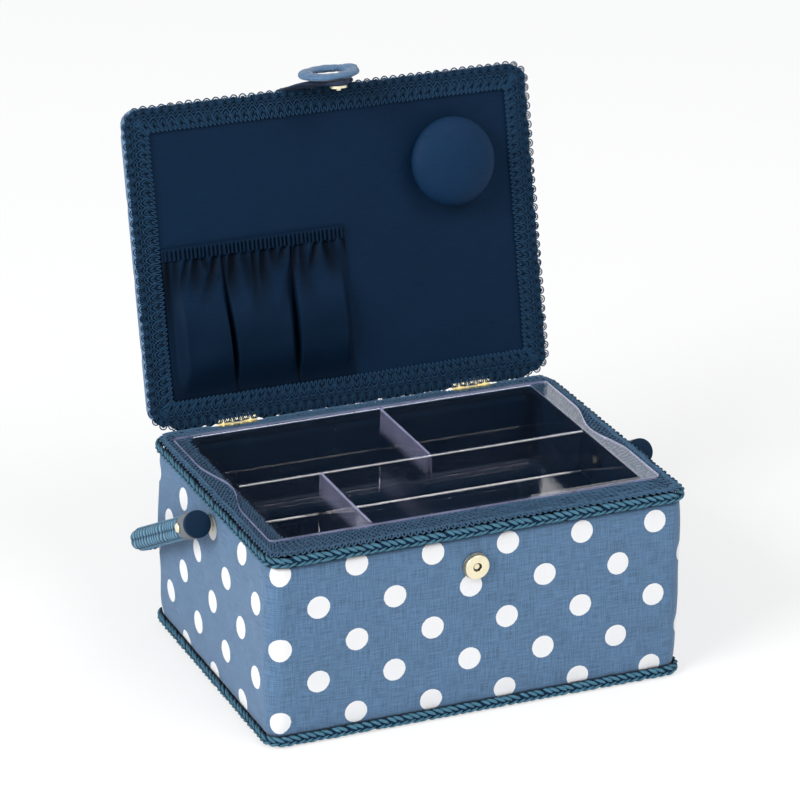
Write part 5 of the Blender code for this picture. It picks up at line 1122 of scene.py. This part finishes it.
def make_pin_cushion(sizes, colours):
    """Round pin cushion: drawn in and gathered at its foot, with a full crown.

    Rings run from the foot to the crown. The radius swells by an eased step and closes by the
    cosine of the angle over the shoulder; gathers are a cosine round the foot that fades up.
    """
    steps = 160
    angle = TURN * shares(steps)
    low = np.linspace(0, 1, 14)
    high = np.linspace(0, 1, 22)[1:]
    radius = np.concatenate([[0.0, 0.012], 0.0226 + 0.0037 * smooth(low) ** 0.7,
                             0.0263 * np.cos(np.pi / 2 * high)])
    climb = np.concatenate([[0.0, 0.0], 0.42 * low ** 1.3, 0.42 + 0.58 * np.sin(np.pi / 2 * high)])
    gather = np.concatenate([[0.0, 0.5], 1 - smooth(low), 0 * high])
    ring_angle = angle[None, :-1]
    tucks = 0.00055 * (np.cos(31 * ring_angle + 1.5 * np.sin(3 * ring_angle)) + 0.5 * np.cos(19 * ring_angle))
    reach = radius[:, None] * (1 + 0.004 * np.sin(2 * ring_angle + 0.6)) + tucks * gather[:, None]
    out = sizes.cushion_height * climb[:, None]
    middle_x, middle_y, seat = 0.0728, -0.1354, 0.0025 - GAP - 0.001 - GAP
    points = stacked(middle_x + reach * np.cos(ring_angle), middle_y + 1.015 * reach * np.sin(ring_angle),
                       seat - out)
    # Painted light: the lining's colour made 1.55 times lighter for the cushion's lit dome; foot_shade paints
    # shade at its foot
    finish = lining_finish("cushion_cloth", shade(colours.lining, 1.55), gloss=0.55, level=0.08)
    run = np.concatenate([[0.0], np.cumsum(np.hypot(np.diff(radius), np.diff(climb) * sizes.cushion_height))])
    spread = (run[-1] - run)[:, None]
    uv = stacked(spread * np.cos(angle), spread * np.sin(angle))
    foot_shade = (0.30 + 0.70 * smooth(climb / 0.55))[:, None]
    pad = [part(from_lid(points), uv, False, True, foot_shade)]
    item = make_piece("pin_cushion_pad", pad, finish, weld=True)
    shown(item, "lid", "navy_cloth", "pin_cushion")


def strap_half_width(drop):
    """Half width of the strap: broad at its root, eased in, and round at its tip."""
    tip = 0.0068
    share = drop / (STRAP_LENGTH - tip)
    half = tip + (0.020 - tip) * (1 - smooth(share))
    past = np.maximum(drop - (STRAP_LENGTH - tip), 0.0)
    return half * np.sqrt(np.maximum(1 - (past / tip) ** 2, 0.0004))


def make_strap(finish):
    """Strap of the closure: a rounded slab that bows out from the lid by an eased step."""
    rows = 60
    drop = STRAP_LENGTH * np.sin(np.pi / 2 * np.linspace(0, 1, rows))
    rise = TAB_STANDOFF * smooth(drop / 0.012)
    slope = np.gradient(rise, drop + 1e-9 * np.arange(rows))[:, None]
    drop, rise = drop[:, None], rise[:, None]
    across = np.linspace(-1, 1, 31)
    half = strap_half_width(drop)
    thick = STRAP_THICKNESS * np.sqrt(np.maximum(1 - 0.92 * across ** 8, 0.0))
    thick = thick - 0.00018 * np.exp(-((1 - np.abs(across)) * half - 0.0022) ** 2 / 0.0004 ** 2)
    turn = 1 / np.sqrt(1 + slope ** 2)
    x = half * across - 0.0040 * (1 - smooth(drop / 0.016)) * smooth(-across)
    front, back = (from_tab(stacked(x, -(rise + side * thick * turn), -drop + side * thick * turn * slope))
                   for side in (1, -1))
    strap = make_piece("closure_strap", slab_parts(front, back, stacked(x, drop)), finish, weld=True)
    shown(strap, "tab", "navy_cloth", "closure_tab")


def make_ring_pull(finish):
    """Ring pull: a flattened round section carried round a circle and tipped from the strap.

    It is fuller where its cloth overlaps and drawn in at its seams, each a bell curve round it.
    """
    way, section = TURN * shares(220), TURN * shares(28)
    band, thickness, middle_radius = 0.0043, 0.0019, 0.0137
    uv = stacked(section * 0.0030, way[:, None] * middle_radius)
    way, section = way[:-1, None], section[:-1]
    seam = sum(deep * np.exp(-((way - place) / width) ** 2)
               for deep, place, width in ((1.0, 0.62, 0.05), (0.8, 0.80, 0.04), (0.6, 3.75, 0.06)))
    lap = np.exp(-((np.angle(np.exp(1j * (way - 0.15)))) / 0.42) ** 2)
    lap += 0.45 * np.exp(-((way - np.pi) / 0.5) ** 2)
    puff = 1 - 0.22 * seam + 0.05 * np.sin(5 * way + 1.0) + 0.03 * np.sin(9 * way)
    crease = waves(way * 0.0148, section * 0.003, 91, 8, 0.003, 0.010) * 0.00012
    cosine, sine = np.cos(section), np.sin(section)
    depth = thickness * (puff + 0.50 * lap) * np.sign(sine) * np.abs(sine) ** 0.85
    spread = middle_radius + band * puff * np.sign(cosine) * np.abs(cosine) ** 0.85 + crease
    x, rise = spread * np.cos(way), spread * np.sin(way) - 0.0155
    tip, tilt = -STRAP_LENGTH + 0.0050, np.radians(5.0)
    out = TAB_STANDOFF + STRAP_THICKNESS + GAP + thickness + depth + crease + 0.03 * (x + middle_radius)
    ring = stacked(x, -(out + np.maximum(rise - tip, 0.0) * np.sin(tilt)), (rise - tip) * np.cos(tilt) + tip)
    pull = make_piece("ring_pull", [part(from_tab(ring), uv, True, True)], finish)
    shown(pull, "ring", "denim_dots", "tab_ring")


def make_closure(sizes, colours):
    """Strap, ring pull and root patch of the closure. The patch is a slab with eased edges."""
    navy = lining_finish("strap_cloth", (0.020, 0.032, 0.060), sheen=0.04, gloss=0.6, level=0.10)
    make_strap(navy)
    make_ring_pull(denim_finish("ring_denim", colours, sizes, False))
    left, right, low, high, front = -0.024, 0.020, 0.0035, 0.0090, -(0.1875 + GAP)
    x, up = np.meshgrid(np.linspace(left, right, 44), np.linspace(low, high, 12))
    edge = np.minimum(np.minimum(right - x, x - left), np.minimum(up - low, high - up))
    swell = 0.0015 * smooth((edge + 0.0006) / 0.0016)
    face, back = (from_lid(stacked(CLOSURE_X + x, front - lift, up)) for lift in (swell, 0.0))
    patch = make_piece("strap_patch", slab_parts(face, back, stacked(x, up)), navy, weld=True)
    shown(patch, "lid", "navy_cloth", "tab_anchor")


def make_snap(sizes, colours):
    """Snap halves, turned finer than their solids, with rounded edges."""
    brass = metal_finish("pale_brass", colours.brass, 0.30)
    steel = metal_finish("plated_steel", (0.30, 0.29, 0.27), 0.38)
    front = np.array([CLOSURE_X, 0.0, SNAP_HEIGHT])
    low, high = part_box("snap_shell")
    depth = high[1] - low[1]
    quarter = np.pi / 2 * shares(5)
    radius, wall, hole, soft, fine = 0.00725, 0.0066, 0.0026, 0.0005, 0.0003
    outer = [(radius - soft + soft * np.cos(a), depth - soft + soft * np.sin(a)) for a in quarter]
    inner = [(hole + fine - fine * np.sin(a), depth - fine + fine * np.cos(a)) for a in quarter]
    profile = [(radius, 0.0), *outer, *inner, (hole, depth - 0.0006), (wall, depth - 0.0006), (wall, 0.0)]
    shell = turned("snap_face", profile, 72, front + [0, high[1], 0], (0, -1, 0), brass, 40)
    shown(shell, "box", "brass", "snap_shell")
    low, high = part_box("snap_backing")
    deep = high[1] - low[1]
    profile = [(0.0078, 0.0), (0.0078, deep - 0.0001), (0.0077, deep), (0.0014, deep), (0.0014, 0.0)]
    shown(turned("snap_plate", profile, 64, front + [0, high[1], 0], (0, -1, 0), steel),
          "box", "steel", "snap_backing")


def handle_way(start):
    """Points along the bail in its own plane: up one arm, round a bend, across, and back down."""
    bend, step = HANDLE_BEND, 0.00042
    arm = np.arange(start, HANDLE_LENGTH - bend, step)
    angle = np.linspace(np.pi, np.pi / 2, 84)
    cross = np.arange(-HANDLE_ARM_X + bend, 0.0, step)[1:]
    x = np.concatenate([np.full_like(arm, -HANDLE_ARM_X), -HANDLE_ARM_X + bend + bend * np.cos(angle), cross])
    y = np.concatenate([arm, HANDLE_LENGTH - bend + bend * np.sin(angle), np.full_like(cross, HANDLE_LENGTH)])
    half = stacked(x, y, 0 * x)
    return np.concatenate([half, half[::-1] * [-1, 1, 1]])


def make_handle(sizes, colours):
    """Braided sleeve with its caps and rivets.

    The sleeve's radius is a plain one plus a herringbone relief: ribs that lean one way in one
    column round it and the other way in the next, each a rounded wave of the length along it,
    parted by grooves between the columns.
    """
    way = handle_way(-0.009)
    run = np.concatenate([[0.0], np.cumsum(np.linalg.norm(np.diff(way, axis=0), axis=1))])
    sides, columns, pitch = 54, 3, 0.0050
    around = shares(sides)
    column = around * 2 * columns
    lean = 1 - np.abs((column % 2.0) - 1)
    wander = 0.30 * waves(run[:, None] / pitch, column[None, :-1], 4, 6, 2.5, 9.0)
    stripe = run[:, None] / pitch + 1.05 * lean[None, :-1] + wander
    rib = np.abs(np.sin(np.pi * stripe)) ** 0.75
    channel = np.abs(np.sin(np.pi * column))[None, :-1] ** 0.45
    relief = rib * (0.55 + 0.45 * channel)
    radius = SLEEVE_RADIUS + SLEEVE_RELIEF * relief
    ahead = unit(np.gradient(way, axis=0))
    angle = TURN * around[None, :-1, None]
    ring = np.cos(angle) * np.cross(ahead, UP)[:, None] + np.sin(angle) * UP
    radius = np.pad(radius, ((1, 1), (0, 0)))[..., None]
    points = from_handle(np.pad(way, ((1, 1), (0, 0)), mode="edge")[:, None]
                         + radius * np.pad(ring, ((1, 1), (0, 0), (0, 0)), mode="edge"))
    uv = stacked(np.pad(run, 1, mode="edge")[:, None], around)
    # Painted shade: the low parts of the relief, in the grooves and between the ribs, turn to the dark ground
    # colour
    tone = np.pad(smooth((relief - 0.35) / 0.60), ((1, 1), (0, 0)), mode="edge")
    finish = yarn_finish("sleeve_yarn", colours.sleeve, (0.010, 0.040, 0.075), ply=0.0011, plies=8,
                         sheen=0.12, contrast=0.35)
    sleeve = make_piece("braided_sleeve", [part(points, uv, False, True, tone)], finish, weld=True)
    shown(sleeve, "handle", "teal_cord", "handle_sleeve", "handle_core")

    cap = cap_finish("cap_plastic", colours.cap)
    brass = bpy.data.materials["pale_brass"]
    quarter = np.pi / 2 * shares(6)
    nose, skirt, reach, bore, rounding = -0.01275, 0.0037, 0.0079, 0.0071, 0.0009
    edge = [(reach + rounding * (np.sin(a) - 1), nose - rounding * (np.cos(a) - 1)) for a in quarter]
    profile = [(0, nose), *edge, (reach, nose + 0.0030), (reach, nose + 0.0034), (reach, skirt - 0.0004),
               (reach - 0.0003, skirt), (bore, skirt), (bore, nose + 0.002), (0, nose + 0.002)]
    # The skirt's rows take the cap's painted grey reflection
    tones = [0.0] * 9 + [1.0] * 3 + [0.0] * 3
    along = from_handle(np.array([0.0, 1.0, 0.0])) - from_handle(np.zeros(3))
    for side_sign, label in ((-1, "left"), (1, "right")):
        middle = from_handle(np.array([side_sign * HANDLE_ARM_X, 0.0, 0.0]))
        item = turned(f"end_cap_{label}", profile, 64, middle, along, cap, 42, tones)
        shown(item, "handle", "dark_plastic", f"handle_cap_{label}")
        low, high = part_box(f"handle_rivet_{label}")
        tail, outer = sorted((abs(low[0]), abs(high[0])))
        crown, shank, foot = 0.0012, 0.0012, 0.0022
        head = outer - crown
        rounded = [(0.00275 * np.cos(a) ** 0.8, head + crown * np.sin(a)) for a in quarter[:-1]]
        rivet_profile = [(0, tail), (foot, tail), (foot, tail + 0.0008), (shank, tail + 0.0008), (shank, head),
                         *rounded, (0, outer)]
        rivet = turned(f"rivet_{label}", rivet_profile, 40, HANDLE_HEIGHT * UP, (side_sign, 0, 0), brass, 45)
        shown(rivet, "box", "brass", f"handle_rivet_{label}")


def dress_frame(sizes, colours):
    """Finishes of the CAD solids that stay: boards, hinges and small metal."""
    card = card_finish("grey_card", colours.card)
    # The frame and the cushion's base take the braid's painted shade colour
    navy = hidden_cloth_finish("frame_cloth", colours.gimp_ground)
    brass = bpy.data.materials["pale_brass"]
    steel = bpy.data.materials["plated_steel"]
    # Painted shade: a darker copy of the brass for the hinges, which sit in shade between the lid and the rim
    shaded_brass = metal_finish("shaded_brass", (0.34, 0.27, 0.15), 0.42)
    lacquer = metal_finish("navy_lacquer", (0.008, 0.016, 0.035), 0.75)
    for name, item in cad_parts.items():
        if item.hide_render:
            continue
        if name in ("rim_frame", "cushion_base"):
            finish = navy
        elif "board" in name:
            finish = card
        elif name in ("snap_magnet", "snap_washer"):
            finish = steel
        elif "handle_washer" in name:
            finish = lacquer
        elif "hinge" in name:
            finish = shaded_brass
        else:
            finish = brass
        for slot in item.material_slots:
            slot.link = "OBJECT"
            slot.material = finish


def place_item(name, data, axes, place):
    """Link an object whose x, y and z axes and place are given."""
    item = bpy.data.objects.new(name, data)
    bpy.context.scene.collection.objects.link(item)
    item.matrix_world = Matrix([[*(axis[i] for axis in axes), place[i]] for i in range(3)] + [[0, 0, 0, 1]])
    return item


def make_lamp(name, heading, distance, size, power):
    """Square area lamp at a distance along a heading from the object, aimed back at it."""
    back = unit(np.array(heading))
    right = unit(np.cross(UP, back))
    data = bpy.data.lights.new(name, "AREA")
    data.size = size
    data.energy = power
    place_item(name, data, (right, np.cross(back, right), back), back * distance + 0.12 * UP)


SEEN_BY = ("Camera", "Glossy", "Transmission")


def make_stage(sizes, colours):
    """Pale floor, soft lamps, white surroundings and the camera."""
    floor = Finish("pale_floor", Roughness=0.9, Specular_IOR_Level=0.1)
    grain = floor.solid_noise(30, detail=2)
    floor.feed("Base Color", floor.over((1.0, 1.0, 1.0), grain, 0.3, 0.7, 0.02, (0.96, 0.97, 0.98)))
    rays = floor.tree.nodes.new("ShaderNodeLightPath").outputs
    camera, glossy, through = (Wire(floor, rays[f"Is {kind} Ray"]) for kind in SEEN_BY)
    seen = floor.node("ShaderNodeMath", {"operation": "MINIMUM"}, {0: camera + glossy + through, 1: 1.0})
    glow = floor.node("ShaderNodeEmission", None, {"Strength": 1.0})
    plain = Wire(floor, floor.shader.outputs[0])
    blend = floor.node("ShaderNodeMixShader", None, {0: seen * 0.62, 1: plain, 2: glow})
    floor.tree.links.new(blend.socket, floor.tree.nodes["Material Output"].inputs["Surface"])
    x, y = np.meshgrid(np.linspace(-9, 9, 9), np.linspace(-9, 9, 9))
    points = stacked(x, y, 0 * x - 0.0001)
    ground = make_piece("stage_floor", [part(points, stacked(x, y))], floor.material)
    if ground.data.polygons[0].normal.z < 0:
        ground.data.flip_normals()

    world = bpy.data.worlds.new("studio")
    bpy.context.scene.world = world
    world.use_nodes = True
    nodes, links = world.node_tree.nodes, world.node_tree.links
    soft = nodes["Background"]
    soft.inputs["Color"].default_value = (0.97, 0.985, 1.0, 1.0)
    soft.inputs["Strength"].default_value = 0.47
    white = nodes.new("ShaderNodeBackground")
    white.inputs["Color"].default_value = (1.0, 1.0, 1.0, 1.0)
    rays = nodes.new("ShaderNodeLightPath").outputs
    share = rays[f"Is {SEEN_BY[0]} Ray"]
    for kind in SEEN_BY[1:]:
        most = nodes.new("ShaderNodeMath")
        most.operation = "MAXIMUM"
        links.new(share, most.inputs[0])
        links.new(rays[f"Is {kind} Ray"], most.inputs[1])
        share = most.outputs[0]
    blend = nodes.new("ShaderNodeMixShader")
    links.new(share, blend.inputs[0])
    links.new(soft.outputs[0], blend.inputs[1])
    links.new(white.outputs[0], blend.inputs[2])
    links.new(blend.outputs[0], nodes["World Output"].inputs["Surface"])

    make_lamp("key", (-0.79, -0.29, 0.54), 5.0, 2.2, 188.0)
    make_lamp("fill", (0.30, -0.52, 0.80), 5.0, 2.4, 78.0)

    azimuth, pitch, roll = np.radians(-23.409), np.radians(22.58), np.radians(0.634)
    back = np.array([np.sin(azimuth) * np.cos(pitch), -np.cos(azimuth) * np.cos(pitch), np.sin(pitch)])
    right = np.array([np.cos(azimuth), np.sin(azimuth), 0.0])
    up = np.cross(back, right)
    rolled = np.cos(roll) * right + np.sin(roll) * up
    rolled_up = np.cos(roll) * up - np.sin(roll) * right
    place = back * 2.3840 + rolled * -0.008439 + rolled_up * 0.143495
    data = bpy.data.cameras.new("camera")
    data.lens = 183.27
    data.sensor_width = 36.0
    data.clip_end = 40.0
    bpy.context.scene.camera = place_item("camera", data, (rolled, rolled_up, back), place)
    bpy.context.scene.view_settings.view_transform = "Standard"


def carry_out(make, context):
    """Make pieces with the scene's sizes and colours."""
    make(context.scene.basket_sizes, context.scene.basket_colours)
    return {"FINISHED"}


class BASKET_OT_case_cover(bpy.types.Operator):
    """Make the padded dotted walls of the case"""

    bl_idname = "basket.case_cover"
    bl_label = "Case cover"

    def execute(self, context):
        return carry_out(make_case_cover, context)


class BASKET_OT_case_linings(bpy.types.Operator):
    """Make the lining, the floor pad and the base cloth"""

    bl_idname = "basket.case_linings"
    bl_label = "Case linings"

    def execute(self, context):
        return carry_out(make_case_linings, context)


class BASKET_OT_cords(bpy.types.Operator):
    """Make the two plaited cords round the case"""

    bl_idname = "basket.cords"
    bl_label = "Plaited cords"

    def execute(self, context):
        return carry_out(make_cords, context)


class BASKET_OT_rim_braid(bpy.types.Operator):
    """Make the looped braid on the rim"""

    bl_idname = "basket.rim_braid"
    bl_label = "Rim braid"

    def execute(self, context):
        return carry_out(make_rim_braid, context)


class BASKET_OT_tray(bpy.types.Operator):
    """Make the clear tray"""

    bl_idname = "basket.tray"
    bl_label = "Tray"

    def execute(self, context):
        return carry_out(make_tray, context)


class BASKET_OT_lid_cover(bpy.types.Operator):
    """Make the padded dotted cover of the lid"""

    bl_idname = "basket.lid_cover"
    bl_label = "Lid cover"

    def execute(self, context):
        return carry_out(make_lid_cover, context)


class BASKET_OT_lid_lining(bpy.types.Operator):
    """Make the lining sheet inside the lid"""

    bl_idname = "basket.lid_lining"
    bl_label = "Lid lining"

    def execute(self, context):
        return carry_out(make_lid_lining, context)


class BASKET_OT_lid_braid(bpy.types.Operator):
    """Make the looped braid round the lid"""

    bl_idname = "basket.lid_braid"
    bl_label = "Lid braid"

    def execute(self, context):
        return carry_out(make_lid_braid, context)


class BASKET_OT_pocket(bpy.types.Operator):
    """Make the gathered pocket"""

    bl_idname = "basket.pocket"
    bl_label = "Pocket"

    def execute(self, context):
        return carry_out(make_pocket, context)


class BASKET_OT_pin_cushion(bpy.types.Operator):
    """Make the pin cushion"""

    bl_idname = "basket.pin_cushion"
    bl_label = "Pin cushion"

    def execute(self, context):
        return carry_out(make_pin_cushion, context)


class BASKET_OT_closure(bpy.types.Operator):
    """Make the strap, the ring pull and their patch"""

    bl_idname = "basket.closure"
    bl_label = "Closure"

    def execute(self, context):
        return carry_out(make_closure, context)


class BASKET_OT_snap(bpy.types.Operator):
    """Make the shell and the backing of the snap"""

    bl_idname = "basket.snap"
    bl_label = "Snap"

    def execute(self, context):
        return carry_out(make_snap, context)


class BASKET_OT_handle(bpy.types.Operator):
    """Make the sleeve, the caps and the rivets"""

    bl_idname = "basket.handle"
    bl_label = "Handle"

    def execute(self, context):
        return carry_out(make_handle, context)


class BASKET_OT_frame_finishes(bpy.types.Operator):
    """Give the solids that stay their finishes"""

    bl_idname = "basket.frame_finishes"
    bl_label = "Frame finishes"

    def execute(self, context):
        return carry_out(dress_frame, context)


class BASKET_OT_stage(bpy.types.Operator):
    """Make the floor, the lamps and the camera"""

    bl_idname = "basket.stage"
    bl_label = "Stage"

    def execute(self, context):
        return carry_out(make_stage, context)


OPERATORS = (
    BASKET_OT_case_cover,
    BASKET_OT_case_linings,
    BASKET_OT_cords,
    BASKET_OT_rim_braid,
    BASKET_OT_tray,
    BASKET_OT_lid_cover,
    BASKET_OT_lid_lining,
    BASKET_OT_lid_braid,
    BASKET_OT_pocket,
    BASKET_OT_pin_cushion,
    BASKET_OT_closure,
    BASKET_OT_snap,
    BASKET_OT_handle,
    BASKET_OT_frame_finishes,
    BASKET_OT_stage,
)


class BASKET_PT_panel(bpy.types.Panel):
    """Buttons that make the pieces, in the 3D view's sidebar."""

    bl_label = "Sewing Box"
    bl_idname = "BASKET_PT_panel"
    bl_space_type = "VIEW_3D"
    bl_region_type = "UI"
    bl_category = "Sewing Box"

    def draw(self, context):
        for operator in OPERATORS:
            self.layout.operator(operator.bl_idname)


CLASSES = (BasketSizes, BasketColours, *OPERATORS, BASKET_PT_panel)


def register():
    for item in CLASSES:
        bpy.utils.register_class(item)
    bpy.types.Scene.basket_sizes = bpy.props.PointerProperty(type=BasketSizes)
    bpy.types.Scene.basket_colours = bpy.props.PointerProperty(type=BasketColours)


def unregister():
    del bpy.types.Scene.basket_colours
    del bpy.types.Scene.basket_sizes
    for item in reversed(CLASSES):
        bpy.utils.unregister_class(item)


def main():
    """Register and make every piece in order."""
    register()
    for operator in OPERATORS:
        getattr(bpy.ops.basket, operator.bl_idname.split(".")[1])()
    bpy.context.view_layer.update()


if __name__ == "__main__":
    main()
